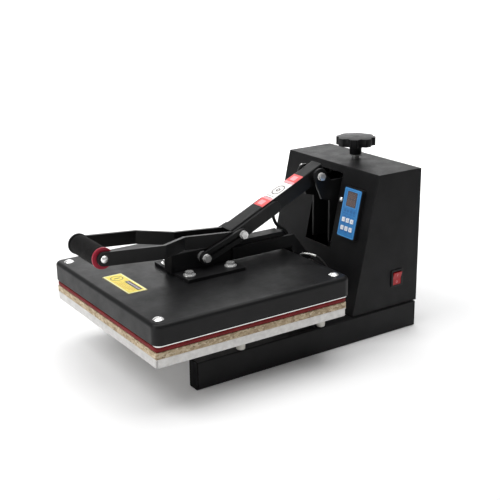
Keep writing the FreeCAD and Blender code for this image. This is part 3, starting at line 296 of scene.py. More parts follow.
def plastic(name, dark, light, rough, grain=2200.0, strength=0.15, pale_edge=(0.2, 0.2, 0.2), gloss=0.5):
    """Moulding: faint mottling, fine grain and edges rubbed to the pale edge colour."""
    look = Look(name)
    look.set(Specular_IOR_Level=gloss)
    base = look.mix(look.span(look.noise(28.0, 4.0), 0.0, 1.0), dark, light)
    rubbed = look.span(look.noise(140.0, 4.0), 0.0, 0.35, 0.4, 0.7)
    edge = look.sum(look.edges(0.0006), rubbed, "MULTIPLY")
    look.colour(look.mix(edge, base, pale_edge))
    look.rough(look.span(look.noise(70.0, 5.0, 0.6), *rough))
    look.bump([(look.noise(grain, 2.0), strength, 0.00008)])
    return look.mat


def grip_cap():
    """End caps of the grip: crimson moulding on the right, black on the left."""
    look = Look("grip_cap")
    look.set(Specular_IOR_Level=0.3)
    place = look.add("ShaderNodeSeparateXYZ")
    look.link(look.coord, place.inputs["Vector"])
    patch = look.span(look.noise(60.0, 4.0), 0.0, 1.0)
    red = look.mix(patch, (0.25, 0.007, 0.022), (0.40, 0.016, 0.042))
    black = look.mix(patch, (0.006, 0.006, 0.006), (0.011, 0.011, 0.011))
    look.colour(look.mix(look.span(place.outputs["X"], 0.0, 1.0, -0.001, 0.001), black, red))
    look.rough(look.span(look.noise(90.0, 5.0, 0.6), 0.28, 0.44))
    look.bump([(look.noise(1400.0, 2.0), 0.12, 0.00008)])
    return look.mat


def metal(name, dark, light, rough, stretch=None, stain=(0.30, 0.28, 0.25), amount=0.25,
          metallic=1.0, dents=0.12):
    """Plated or bare steel: turned or rolled lines, patches of dulling in the plating."""
    look = Look(name)
    look.set(Metallic=metallic)
    patch = look.noise(90.0, 5.0, 0.6)
    base = look.mix(look.span(patch, 0.0, 1.0), dark, light)
    look.colour(look.mix(look.span(look.noise(35.0, 6.0, 0.7), 0.0, amount, 0.5, 0.75), base, stain))
    look.rough(look.span(look.noise(260.0, 4.0, 0.6, stretch), *rough))
    look.bump([(look.noise(900.0, 2.0, 0.5, stretch), dents, 0.00008)])
    return look.mat


def chip_board():
    """Particle board: tan chips of mixed size with dark flecks and an open cut edge."""
    look = Look("chip_board")
    flat = (0.55, 0.55, 1.0)
    chips = look.cells(300.0, "Color", flat)
    shade = look.add("ShaderNodeSeparateColor")
    look.link(chips, shade.inputs["Color"])
    tan = look.ramp(shade.outputs["Red"], [(0.0, (0.14, 0.080, 0.038)), (0.25, (0.30, 0.205, 0.112)),
                                           (0.55, (0.46, 0.355, 0.225)), (0.8, (0.59, 0.485, 0.340)),
                                           (1.0, (0.72, 0.640, 0.490))])
    fibre = look.noise(900.0, 5.0, 0.7, flat)
    fine = look.ramp(fibre, [(0.32, (0.21, 0.130, 0.065)), (0.5, (0.48, 0.380, 0.245)),
                             (0.68, (0.76, 0.680, 0.530))])
    mixed = look.mix(look.span(look.noise(420.0, 3.0, 0.6, flat), 0.15, 0.75), tan, fine)
    fleck = look.span(look.cells(240.0, "Distance", flat), 1.0, 0.0, 0.14, 0.26)
    holes = look.sum(fleck, look.span(look.noise(160.0, 2.0), 0.0, 0.85, 0.48, 0.58), "MULTIPLY")
    look.colour(look.mix(holes, mixed, (0.06, 0.03, 0.015)))
    look.rough(look.span(look.noise(300.0, 3.0), 0.72, 0.92))
    look.bump([(look.noise(700.0, 4.0, 0.7, flat), 0.7, 0.0006), (holes, -0.6, 0.0005)])
    return look.mat


def rubber(name, dark, light, rough, grain, strength, gloss=0.5, dusty=0.25):
    """Rubber, sleeving or wool: soft grain with a bloom of dust."""
    look = Look(name)
    look.set(Specular_IOR_Level=gloss)
    base = look.mix(look.span(look.noise(45.0, 5.0, 0.65), 0.0, 1.0), dark, light)
    dust = look.span(look.noise(320.0, 4.0, 0.7), 0.0, dusty, 0.5, 0.8)
    pale = tuple(min(1.0, 2.4 * c + 0.02) for c in light)
    look.colour(look.mix(dust, base, pale))
    look.rough(look.span(look.noise(120.0, 4.0), *rough))
    look.bump([(look.noise(grain, 3.0, 0.6), strength, 0.0003)])
    return look.mat


def foam():
    """Closed cell foam: skin with fine pores and a dusty bloom."""
    look = Look("grip_foam")
    pore = look.cells(1500.0, "Distance")
    patch = look.span(look.noise(60.0, 4.0), 0.0, 1.0)
    base = look.mix(patch, (0.0045, 0.0045, 0.0045), (0.0095, 0.0092, 0.0092))
    # each pore is darker towards its middle, where the bump sinks: painted shade in the pores
    look.colour(look.mix(look.span(pore, 0.35, 0.0, 0.0, 0.35), base, (0.002, 0.002, 0.002)))
    look.rough(look.span(look.noise(400.0, 3.0), 0.78, 0.95))
    look.set(Specular_IOR_Level=0.14)
    look.bump([(pore, 0.45, 0.0003), (look.noise(220.0, 4.0), 0.3, 0.0006)])
    return look.mat


def membrane():
    """Printed polyester membrane: blue ink under a fine matte texture."""
    look = Look("blue_membrane")
    patch = look.span(look.noise(80.0, 3.0), 0.0, 1.0)
    base = look.mix(patch, (0.016, 0.155, 0.44), (0.030, 0.225, 0.56))
    look.colour(look.mix(look.span(look.noise(900.0, 3.0), 0.0, 0.2), base, (0.16, 0.42, 0.72)))
    look.rough(look.span(look.noise(200.0, 4.0), 0.28, 0.46))
    look.bump([(look.noise(3000.0, 2.0), 0.2, 0.00005)])
    return look.mat


def ink(name, colour, rough=(0.35, 0.6)):
    """Print: an even colour with slightly thin patches."""
    look = Look(name)
    pale = tuple(min(1.0, 1.25 * c + 0.01) for c in colour)
    look.colour(look.mix(look.span(look.noise(700.0, 4.0, 0.7), 0.0, 1.0), colour, pale))
    look.rough(look.span(look.noise(150.0, 3.0), *rough))
    look.bump([(look.noise(1800.0, 2.0), 0.12, 0.00004)])
    return look.mat


def braid():
    """Braided metal sleeve: crossing strands as bump and tone."""
    look = Look("braided_sleeve")
    look.set(Metallic=1.0)
    a = look.add("ShaderNodeTexWave", wave_type="BANDS", bands_direction="DIAGONAL")
    a.inputs["Scale"].default_value = 420.0
    look.link(look.coord, a.inputs["Vector"])
    b = look.add("ShaderNodeTexWave", wave_type="BANDS", bands_direction="DIAGONAL")
    b.inputs["Scale"].default_value = 420.0
    look.link(look.place((-1.0, 1.0, 1.0)), b.inputs["Vector"])
    weave = look.sum(a.outputs["Fac"], b.outputs["Fac"], "MAXIMUM")
    look.colour(look.mix(weave, (0.52, 0.52, 0.50), (0.97, 0.97, 0.94)))
    look.rough(look.span(look.noise(300.0, 3.0), 0.22, 0.42))
    look.bump([(weave, 0.6, 0.0003)])
    return look.mat


BLACK = (0.0050, 0.0050, 0.0054)
SATIN = (0.0085, 0.0085, 0.0090)
GREY = (0.0095, 0.0095, 0.0101)
PAINT = painted("powder_coat", BLACK, GREY, rough=(0.36, 0.50), grain=1500.0, pale_edge=0.5, gloss=0.16)
COVER_PAINT = painted("powder_coat_cover", BLACK, SATIN, rough=(0.32, 0.46), grain=1300.0, pale_edge=0.4,
                      gloss=0.2)
LEVER_PAINT = painted("powder_coat_lever", (0.0045, 0.0045, 0.0048), SATIN, rough=(0.30, 0.42),
                      grain=1600.0, pale_edge=0.7, gloss=0.26)
PLASTIC = plastic("black_moulding", BLACK, GREY, rough=(0.36, 0.52), gloss=0.25)
# end caps: matte black moulding, with its colour darkened further as painted shade on the beams' front
# ends
END_CAP = plastic("end_cap", (0.0020, 0.0020, 0.0022), (0.0040, 0.0040, 0.0042), rough=(0.50, 0.70),
                  gloss=0.06)
KNOB = plastic("knob_bakelite", (0.005, 0.005, 0.0054), (0.010, 0.010, 0.0106), rough=(0.30, 0.46),
               grain=900.0, strength=0.2, gloss=0.14)
ZINC = metal("zinc_plate", (0.88, 0.88, 0.87), (0.98, 0.98, 0.97), rough=(0.12, 0.26),
             stain=(0.42, 0.40, 0.37), amount=0.2, metallic=0.72, dents=0.10)
STEEL = metal("plain_steel", (0.34, 0.34, 0.33), (0.56, 0.56, 0.55), rough=(0.22, 0.40),
              stretch=(1.0, 1.0, 6.0))
TRAY = metal("tray_sheet", (0.50, 0.49, 0.48), (0.66, 0.65, 0.635), rough=(0.32, 0.50),
             stretch=(0.06, 0.06, 1.0), stain=(0.42, 0.40, 0.37), metallic=0.6)
HEATER = metal("heater_casting", (0.70, 0.70, 0.69), (0.90, 0.90, 0.88), rough=(0.28, 0.46),
               stretch=(0.1, 0.1, 1.0))
BRONZE = metal("bronze", (0.50, 0.34, 0.14), (0.72, 0.52, 0.26), rough=(0.24, 0.42))
RELAY = metal("extrusion", (0.50, 0.50, 0.50), (0.68, 0.68, 0.68), rough=(0.3, 0.48),
              stretch=(1.0, 0.05, 1.0))
CHIPS = chip_board()
SILICONE = rubber("red_silicone", (0.135, 0.010, 0.011), (0.205, 0.018, 0.019), rough=(0.52, 0.70),
                  grain=900.0, strength=0.25, gloss=0.15, dusty=0.12)
SLEEVE = rubber("black_sleeve", (0.008, 0.008, 0.008), (0.018, 0.018, 0.018), rough=(0.45, 0.65),
                grain=1400.0, strength=0.3)
WOOL = rubber("ceramic_wool", (0.60, 0.58, 0.52), (0.78, 0.76, 0.70), rough=(0.85, 0.98), grain=500.0,
              strength=0.8)
WHITE = plastic("white_moulding", (0.62, 0.60, 0.54), (0.78, 0.77, 0.72), rough=(0.38, 0.55),
                grain=900.0, strength=0.12, pale_edge=(0.9, 0.9, 0.88))
KEYS = plastic("key_cap", (0.84, 0.87, 0.92), (0.92, 0.95, 0.99), rough=(0.35, 0.5), grain=1800.0,
               strength=0.1, pale_edge=(0.9, 0.9, 0.9))
WINDOW = plastic("display_lens", (0.095, 0.082, 0.084), (0.135, 0.115, 0.116), rough=(0.12, 0.24),
                 grain=600.0, strength=0.03)
RED = plastic("red_moulding", (0.34, 0.006, 0.010), (0.47, 0.013, 0.018), rough=(0.26, 0.42),
              grain=1200.0, strength=0.08, pale_edge=(0.75, 0.2, 0.2), gloss=0.35)
BOARD = plastic("board_green", (0.010, 0.07, 0.03), (0.015, 0.11, 0.05), rough=(0.3, 0.5), grain=500.0,
                strength=0.3)
BLUE = membrane()
FOAM = foam()
BRAID = braid()

LOOKS = {
    "black_paint": PAINT, "black_plastic": PLASTIC, "zinc_steel": ZINC, "plain_steel": STEEL,
    "tray_metal": TRAY, "heater_metal": HEATER, "particle_board": CHIPS, "silicone": SILICONE,
    "white_plastic": WHITE, "blue_membrane": BLUE, "dark_window": WINDOW, "key_white": KEYS,
    "circuit_board": BOARD, "relay_metal": RELAY, "red_plastic": RED, "foam": FOAM, "bronze": BRONZE,
    "black_sleeve": SLEEVE, "braid": BRAID, "wool": WOOL,
}
SPECIAL = {
    "head_cover": COVER_PAINT, "grip_caps": grip_cap(), "pressure_knob": KNOB, "beam_end_caps": END_CAP,
    "lever_channel": LEVER_PAINT, "right_leg": LEVER_PAINT, "left_leg": LEVER_PAINT,
    "right_link": LEVER_PAINT, "left_link": LEVER_PAINT, "carriage": LEVER_PAINT,
}
for part in frame["record"]["subparts"]:
    for holder in NODES[part["node"]].material_slots:
        holder.material = SPECIAL.get(part["node"], LOOKS[part["material_slot"]])


# ---------------------------------------------------------------- soft edges on the CAD parts
ROUNDED = {"base_beam_left": 0.5, "base_beam_right": 0.5, "right_leg": 0.7, "left_leg": 0.7,
           "right_link": 0.7, "left_link": 0.7, "mounting_plate": 0.8, "carriage": 0.6, "head_arm": 0.5,
           "lever_channel": 0.5, "particle_board": 0.4, "lower_platen": 0.4, "tower_shell": 0.4,
           "pressure_knob": 1.6, "controller_housing": 0.5, "power_rocker": 0.5, "grip_caps": 0.9,
           "beam_end_caps": 0.5, "plate_bolts": 0.4, "pivot_bolt": 0.4, "knee_bolts": 0.4,
           "link_bolt": 0.4, "platen_posts": 0.5, "hinge_bracket": 0.6, "hinge_cheeks": 0.5,
           "switch_bezel": 0.4}
EDGE_ANGLE = math.radians(38)
for name, width in ROUNDED.items():
    weld = NODES[name].modifiers.new("weld", "WELD")
    weld.merge_threshold = 1e-6
    bevel = NODES[name].modifiers.new("bevel", "BEVEL")
    bevel.width = width * MM
    bevel.segments = 2
    bevel.limit_method = "ANGLE"
    bevel.angle_limit = EDGE_ANGLE
    bevel.harden_normals = True
    bevel.use_clamp_overlap = True


# ---------------------------------------------------------------- mesh helpers
def make(name, verts, faces, material, body, slot, smooth=True):
    mesh = bpy.data.meshes.new(name)
    mesh.from_pydata([tuple(v) for v in verts], [], faces)
    mesh.validate()
    mesh.update()
    obj = bpy.data.objects.new(name, mesh)
    bpy.context.collection.objects.link(obj)
    obj.data.materials.append(material)
    for face in mesh.polygons:
        face.use_smooth = smooth
    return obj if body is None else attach(obj, body)


def rounded(half_x, half_y, radius, steps=5, at=(0.0, 0.0)):
    """Outline of a rounded rectangle, as points round its middle."""
    points = []
    for quarter, (sx, sy) in enumerate(((1, 1), (-1, 1), (-1, -1), (1, -1))):
        for k in range(steps + 1):
            a = math.radians(90 * quarter + 90 * k / steps)
            points.append((at[0] + sx * (half_x - radius) + radius * math.cos(a),
                           at[1] + sy * (half_y - radius) + radius * math.sin(a)))
    return points


def slab(points, low, high):
    """Vertices and faces of a flat prism with that outline."""
    n = len(points)
    verts = [(x, y, low) for x, y in points] + [(x, y, high) for x, y in points]
    faces = [tuple(range(n))[::-1], tuple(range(n, 2 * n))]
    faces += [(k, (k + 1) % n, n + (k + 1) % n, n + k) for k in range(n)]
    return verts, faces


def ring(outer, inner, low, high):
    """Vertices and faces of a frame between two outlines with the same number of points."""
    n = len(outer)
    verts = [(x, y, z) for z in (low, high) for loop in (outer, inner) for x, y in loop]
    faces = []
    for k in range(n):
        j = (k + 1) % n
        faces.append((2 * n + k, 2 * n + j, 3 * n + j, 3 * n + k))
        faces.append((j, k, n + k, n + j))
        faces.append((k, j, 2 * n + j, 2 * n + k))
        faces.append((n + j, n + k, 3 * n + k, 3 * n + j))
    return verts, faces


def bar(half_x, half_y, corner, low, high, steps=2, at=(0.0, 0.0)):
    """Flat rounded bar."""
    return slab(rounded(half_x, half_y, corner, steps, at), low, high)


def band(outer, inner, low, high, steps=5, at=(0.0, 0.0)):
    """Frame between two rounded rectangles, each given as half sizes and corner radius."""
    return ring(rounded(*outer, steps, at), rounded(*inner, steps, at), low, high)


def joined(parts):
    """Several (verts, faces) as one."""
    verts, faces = [], []
    for v, f in parts:
        faces += [tuple(i + len(verts) for i in face) for face in f]
        verts += list(v)
    return verts, faces


def moved(shape, matrix):
    verts, faces = shape
    return [matrix @ Vector(v) for v in verts], faces


def lay(name, shapes, place, material, body, slot):
    """Makes one thin piece of several flat shapes."""
    make(name, *moved(joined(shapes), place), material, body, slot, False)


def on_front(lift=0.0):
    """From a flat drawing (x across, y up, z out) to the sloped tower front at the controller."""
    turn = Matrix.Rotation(-SLOPE, 4, "X") @ Matrix.Rotation(math.radians(90), 4, "X")
    return Matrix.Translation(PANEL_AT) @ turn @ Matrix.Translation((0, 0, -FACE_Y + lift))


def on_lever():
    """From a flat drawing (x across, y up from the pivot, z out) to the lever's top."""
    turn = Matrix.Rotation(LEVER_ANGLE, 4, "X")
    return Matrix.Translation((0, *PIVOT_A)) @ turn @ Matrix.Translation((0, 0, LEVER_TOP))


# ---------------------------------------------------------------- soft pieces
def foam_sleeve():
    """Foam grip, turned about X, a little fuller in the middle, with a lumpy skin."""
    low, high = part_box("foam_grip")
    y, z = (low[1] + high[1]) / 2, (low[2] + high[2]) / 2
    radius, bore, half = (high[2] - low[2]) / 2, FOAM_BORE, high[0]
    profile = [(-half + 0.0004, bore), (-half, bore + 0.002), (-half, radius - 0.0034),
               (-half + 0.0006, radius - 0.0016), (-half + 0.0022, radius - 0.0005)]
    count = 26
    for k in range(count + 1):
        t = -1 + 2 * k / count
        profile.append((t * (half - 0.0040), radius - 0.0002 - 0.0003 * t * t))
    profile += [(-x, r) for x, r in profile[:5][::-1]]
    turns = 72
    verts, faces = [], []
    for x, r in profile:
        for k in range(turns):
            a = 2 * math.pi * k / turns
            c, s = math.cos(a), math.sin(a)
            lump = noise.noise(Vector((x * 90, c * 2.2, s * 2.2))) * FOAM_LUMPS[0]
            lump += noise.noise(Vector((x * 420, c * 9, s * 9))) * FOAM_LUMPS[1]
            skin = r + (lump - 0.0002 if r > bore + 0.003 else 0.0)
            verts.append((x, y + skin * c, z + skin * s))
    for i in range(len(profile)):
        near, far = i * turns, (i + 1) % len(profile) * turns
        for k in range(turns):
            j = (k + 1) % turns
            faces.append((near + k, near + j, far + j, far + k))
    obj = make("foam_sleeve", verts, faces, FOAM, "lever", "foam")
    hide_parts("foam_grip")


def soft_sheet(name, node, material, body, corner, bulge, droop, waves):
    """Square pad with rounded corners, full edges and slightly uneven faces."""
    low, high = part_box(node)
    cx, cy = (low[0] + high[0]) / 2, (low[1] + high[1]) / 2
    hx, hy = (high[0] - low[0]) / 2, (high[1] - low[1]) / 2
    bm = bmesh.new()
    steps, layers = 44, 6
    insets = [1.0, 0.995, 0.985, 0.96, 0.9, 0.75, 0.5, 0.25]
    flat_from = insets[2]
    loops = []
    for side in range(4):
        for k in range(steps):
            t = -1 + 2 * k / steps
            x, y = ((t, -1), (1, t), (-t, 1), (-1, -t))[side]
            loops.append((x, y))

    def outline(x, y):
        """From the edge of a unit square to the sheet's edge with its corner radius."""
        px, py = x * hx, y * hy
        ox, oy = max(abs(px) - (hx - corner), 0), max(abs(py) - (hy - corner), 0)
        if ox > 0 and oy > 0:
            d = math.hypot(ox, oy)
            m = max(ox, oy)
            ox, oy = ox / d * m, oy / d * m
            px = math.copysign(hx - corner + ox, px)
            py = math.copysign(hy - corner + oy, py)
        return px, py

    rows = []
    order = [("low", s) for s in reversed(insets)] + [("side", k) for k in range(1, layers)]
    order += [("high", s) for s in insets]
    for kind, value in order:
        row = []
        for x, y in loops:
            px, py = outline(x, y)
            if kind == "side":
                t = value / layers
                z = low[2] + t * (high[2] - low[2])
                push = bulge * (1 - (2 * t - 1) ** 2)
                scale = 1 - (bulge - push) / hx
            else:
                z = low[2] if kind == "low" else high[2]
                scale = value * (1 - bulge / hx)
                sag = droop * max(0.0, (value - flat_from) / (1 - flat_from))
                z += sag if kind == "low" else -sag
            wave = waves * noise.noise(Vector((px, py, z)) * Vector(RIPPLE))
            if kind == "high":
                z += min(0.0, wave - waves * 0.5)
            row.append(bm.verts.new((cx + px * scale, cy + py * scale, z)))
        rows.append(row)
    n = len(loops)
    for a, b in zip(rows, rows[1:]):
        for k in range(n):
            bm.faces.new((a[k], a[(k + 1) % n], b[(k + 1) % n], b[k]))
    bm.faces.new(rows[0][::-1])
    bm.faces.new(rows[-1])
    mesh = bpy.data.meshes.new(name)
    bm.to_mesh(mesh)
    bm.free()
    obj = bpy.data.objects.new(name, mesh)
    bpy.context.collection.objects.link(obj)
    mesh.materials.append(material)
    for face in mesh.polygons:
        face.use_smooth = True
    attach(obj, body)
    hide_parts(node)


# ---------------------------------------------------------------- leads
def spline_points(name, route):
    """Smooth line with the route's points as control points, read as a plain list of points."""
    curve = bpy.data.curves.new(name + "_line", "CURVE")
    curve.dimensions = "3D"
    curve.resolution_u = 14
    line = curve.splines.new("NURBS")
    line.points.add(len(route) - 1)
    for point, (x, y, z) in zip(line.points, route):
        point.co = (x * MM, y * MM, z * MM, 1.0)
    line.order_u = 3
    line.use_endpoint_u = True
    holder = bpy.data.objects.new(name + "_line", curve)
    bpy.context.collection.objects.link(holder)
    bpy.context.view_layer.update()
    mesh = bpy.data.meshes.new_from_object(holder)
    points = [v.co.copy() for v in mesh.vertices]
    bpy.data.objects.remove(holder)
    bpy.data.meshes.remove(mesh)
    return points


def tube_along(name, points, radius, material, slot):
    """Tube whose rings are carried along the line without twist."""
    sides = 20
    verts, faces = [], []
    ahead = (points[1] - points[0]).normalized()
    side = ahead.cross(Vector((1, 0.2, 0.1))).normalized()
    for i, p in enumerate(points):
        before, after = points[max(i - 1, 0)], points[min(i + 1, len(points) - 1)]
        ahead = (after - before).normalized()
        side = (side - ahead * side.dot(ahead)).normalized()
        up = ahead.cross(side)
        for k in range(sides):
            a = 2 * math.pi * k / sides
            verts.append(p + (side * math.cos(a) + up * math.sin(a)) * radius)
    for i in range(len(points) - 1):
        for k in range(sides):
            j = (k + 1) % sides
            faces.append((i * sides + k, i * sides + j, (i + 1) * sides + j, (i + 1) * sides + k))
    last = (len(points) - 1) * sides
    faces.append(tuple(range(sides))[::-1])
    faces.append(tuple(last + k for k in range(sides)))
    return make(name, verts, faces, material, None, slot)


def leads():
    """Heater and thermocouple leads, each a tube along its route from the head to the tower."""
    for name, node, route, radius, stiffness, at_head, at_tower in (
            ("heater_cable", "heater_lead", LEAD_ROUTE, LEAD_R, "medium",
             (-0.033, 0.105, 0.2), (-0.033, 0.225, 0.2)),
            ("thermocouple_cable", "thermocouple_lead", THERMO_ROUTE, THERMO_R, "stiff",
             (0.05, 0.110, 0.14), (0.05, 0.172, 0.14))):
        points = spline_points(name, route)
        tube = tube_along(name, points, radius, SLEEVE, "black_sleeve")
        if name == "thermocouple_cable":
            # bright braided sleeve only on the stretch where the lead shows a highlight: partly a
            # painted highlight
            low, high = THERMO_HIGHLIGHT_SLEEVE
            shown = [p for p in points if low < p.x < high and p.z > THERMO_HIGHLIGHT_SLEEVE_LOW]
            sleeve = tube_along("thermocouple_highlight_sleeve", shown, radius + SLEEVE_T, BRAID, "braid")
            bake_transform(sleeve)
        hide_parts(node)
        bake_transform(tube)


# ---------------------------------------------------------------- labels and prints
YELLOW = ink("label_yellow", (0.82, 0.66, 0.085))
PALE_YELLOW = ink("label_rim", (0.90, 0.82, 0.42))
# dark olive: print for the label's mark, and painted shade in the band round the label's edge
OLIVE_INK_AND_EDGE_SHADE = ink("label_outline", (0.10, 0.075, 0.018))
OCHRE = ink("label_lines", (0.52, 0.27, 0.03))
LILAC = ink("label_bar_lines", (0.42, 0.36, 0.42))
INK = ink("label_ink", (0.012, 0.012, 0.012))
PAPER = ink("sticker_white", (0.78, 0.77, 0.75))
SIGN_RED = ink("sticker_red", (0.66, 0.085, 0.085))
SIGN_PINK = ink("sticker_pink", (0.76, 0.32, 0.34))
SIGN_GREY = ink("sticker_grey", (0.050, 0.034, 0.032))
PALE_BLUE = ink("membrane_line", (0.085, 0.34, 0.68))
PRINT = ink("membrane_print", (0.010, 0.060, 0.215))
KEY_PRINT = ink("key_print", (0.23, 0.25, 0.42))
ROCKER_PRINT = ink("rocker_print", (0.50, 0.20, 0.22))
LCD_OFF = ink("display_segments", (0.19, 0.125, 0.115), (0.2, 0.3))

# sticker strips along the lever: name, look, slot, upper and lower end from the pivot
STICKER_STRIPS = (
    ("sticker_red_high", SIGN_RED, "red_plastic", -0.0285, -0.0500),
    ("sticker_pink_high", SIGN_PINK, "red_plastic", -0.0500, -0.0562),
    ("sticker_white", PAPER, "white_plastic", -0.0562, -0.1040),
    ("sticker_pink_low", SIGN_PINK, "red_plastic", -0.1040, -0.1095),
    ("sticker_red_low", SIGN_RED, "red_plastic", -0.1095, -0.1310),
)

# strokes of a seven-segment figure: place in half widths and heights, and whether it lies flat
SEGMENTS = ((0, 1, 1), (0.5, 0.5, 0), (0.5, -0.5, 0), (0, -1, 1), (-0.5, -0.5, 0), (-0.5, 0.5, 0),
            (0, 0, 1))


def cover_label():
    """Yellow plate on the cover with a plain bar, lines and a mark that spell nothing."""
    place = Matrix.Translation((*LABEL_AT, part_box("head_cover")[1][2]))
    low, high = LABEL_T, LABEL_T + LABEL_PRINT_T
    lay("cover_label", [slab(rounded(*LABEL_SIZE), 0.0, LABEL_T)], place, YELLOW, "head", "red_plastic")
    rim = [band(LABEL_INSET, (0.0472, 0.0152, 0.0010), low, high)]
    lay("cover_label_rim", rim, place, PALE_YELLOW, "head", "red_plastic")
    # the outer band is painted shade round the label's edge; the ring and bar of the mark are print
    outline = [band(LABEL_SIZE, LABEL_INSET, low, high),
               band((0.0115, 0.0115, 0.0114), (0.0101, 0.0101, 0.0100), low, high, 6, LABEL_MARK),
               bar(0.0014, 0.0058, 0.0013, low, high, 4, LABEL_MARK)]
    lay("cover_label_outline", outline, place, OLIVE_INK_AND_EDGE_SHADE, "head", "black_plastic")
    field = [bar(0.0250, 0.0048, 0.0006, low, high, 3, LABEL_BAR)]
    lay("cover_label_bar", field, place, INK, "head", "black_plastic")
    inside = [bar(0.0030, 0.0019, 0.0006, high, high + FIGURE_T, 3,
                  (LABEL_BAR[0] - 0.0192 + 0.0077 * k, LABEL_BAR[1])) for k in range(6)]
    lay("cover_label_fields", inside, place, LILAC, "head", "white_plastic")
    lines = [bar(width, 0.0005, 0.0002, low, high, at=(LABEL_BAR[0] - 0.0250 + width, -0.0036 * k))
             for k, width in enumerate((0.0235, 0.0240, 0.0205, 0.0160))]
    lines.append(bar(0.0004, 0.0140, 0.0002, low, high, at=(-0.0125, 0.0)))
    lay("cover_label_lines", lines, place, OCHRE, "head", "red_plastic")


def lever_sticker():
    """Three-part sticker laid on the channel's top and just over its folds: red, white, red."""
    reach = CHANNEL_FOLD + STICKER_LIFT
    left, right = ([(side * (LEVER_HALF - CHANNEL_FOLD + reach * math.sin(a)),
                     reach * math.cos(a) - CHANNEL_FOLD)
                    for a in (math.radians(d) for d in (0, 12, 24, 36, 48))] for side in (-1, 1))
    strip = left[::-1] + right
    n = len(strip)
    for name, material, slot, near, far in STICKER_STRIPS:
        verts = [(x * (1 + lift / LEVER_HALF), y, z + lift)
                 for y in (near, far) for lift in (0.0, STICKER_T) for x, z in strip]
        faces = []
        for k in range(n - 1):
            faces.append((n + k, n + k + 1, 3 * n + k + 1, 3 * n + k))
            faces.append((k + 1, k, 2 * n + k, 2 * n + k + 1))
            faces.append((k, k + 1, n + k + 1, n + k))
            faces.append((2 * n + k + 1, 2 * n + k, 3 * n + k, 3 * n + k + 1))
        for k in (0, n - 1):
            faces.append((k, n + k, 3 * n + k, 2 * n + k))
        lay(name, [(verts, faces)], on_lever(), material, "lever", slot)
    low, high = STICKER_PRINT
    marks = [band((0.0116, 0.0138, 0.0115), (0.0096, 0.0118, 0.0095), low, high, 8, STICKER_RING),
             band((0.0046, 0.0046, 0.0045), (0.0022, 0.0022, 0.0021), low, high, 6, STICKER_RING)]
    for y in (-0.0565, -0.0990, -0.1036):
        marks.append(bar(0.0105, 0.00045, 0.0002, low, high, at=(0.0, y)))
    lay("sticker_ring", marks, on_lever(), SIGN_GREY, "lever", "black_plastic")
    pale = [bar(0.0070, 0.0062, 0.0010, low, high, 3, (0.0, y)) for y in (-0.0395, -0.1205)]
    lay("sticker_fields", pale, on_lever(), SIGN_PINK, "lever", "red_plastic")


def figure(x, y):
    """Unlit seven-segment figure about its middle."""
    width, height = FIGURE_SIZE
    thick, gap = FIGURE_STROKE / 2, FIGURE_STROKE * 0.7
    shapes = []
    for across, up, flat in SEGMENTS:
        half = (width / 2 - gap, thick) if flat else (thick, height / 4 - gap)
        at = (x + across * width, y + up * height / 2)
        shapes.append(bar(*half, FIGURE_STROKE * 0.3, 0.0, FIGURE_T, at=at))
    return shapes


def controller_prints():
    """Lines round the membrane and the display, rows of small marks, key marks and unlit figures."""
    lines = [band((0.0222, 0.0447, 0.0022), (0.0212, 0.0437, 0.0016), 0.0, LINE_T),
             band((0.0152, 0.0156, 0.0010), (0.0145, 0.0149, 0.0006), 0.0, LINE_T, at=DISPLAY_AT)]
    lay("membrane_lines", lines, on_front(), PALE_BLUE, "base", "white_plastic")
    marks = []
    for k in range(4):
        x = (k - 1.5) * MARK_PITCH
        marks.append(band((0.0026, 0.0026, 0.0025), (0.0019, 0.0019, 0.0018), 0.0, PRINT_T,
                          at=(x, MARK_ROWS[0])))
        marks.append(bar(0.0007, 0.0007, 0.0006, 0.0, PRINT_T, 3, (x, MARK_ROWS[0])))
        marks.append(bar(0.0030, 0.0004, 0.0002, 0.0, PRINT_T, at=(x, MARK_ROWS[1])))
    for k in (-1, 0, 1):
        for y in DASH_ROWS:
            marks.append(bar(0.0030, 0.0004, 0.0002, 0.0, PRINT_T, at=(k * KEY_PITCH, y)))
    lay("membrane_marks", marks, on_front(), PRINT, "base", "white_plastic")
    figures = []
    for y in FIGURE_ROWS:
        for k in (-1, 0, 1):
            figures += figure(k * FIGURE_PITCH, y)
    lay("display_figures", figures, on_front(DISPLAY_PROUD), LCD_OFF, "base", "dark_window")
    places = [(k * KEY_PITCH, y) for y in KEY_ROWS for k in (-1, 0, 1)]
    for number, at in enumerate(places, 1):
        dash = bar(0.0018, 0.00035, 0.0002, 0.0, PRINT_T, at=at)
        upright = bar(0.00035, 0.0018, 0.0002, 0.0, PRINT_T, at=at)
        circle = band((0.0017, 0.0017, 0.0016), (0.0011, 0.0011, 0.0010), 0.0, PRINT_T, at=at)
        signs = ([dash], [circle], [dash, upright])[(number - 1) % 3]
        lay("key_mark_%d" % number, signs, on_front(KEY_PROUD), KEY_PRINT, "key_%d" % number,
            "blue_membrane")


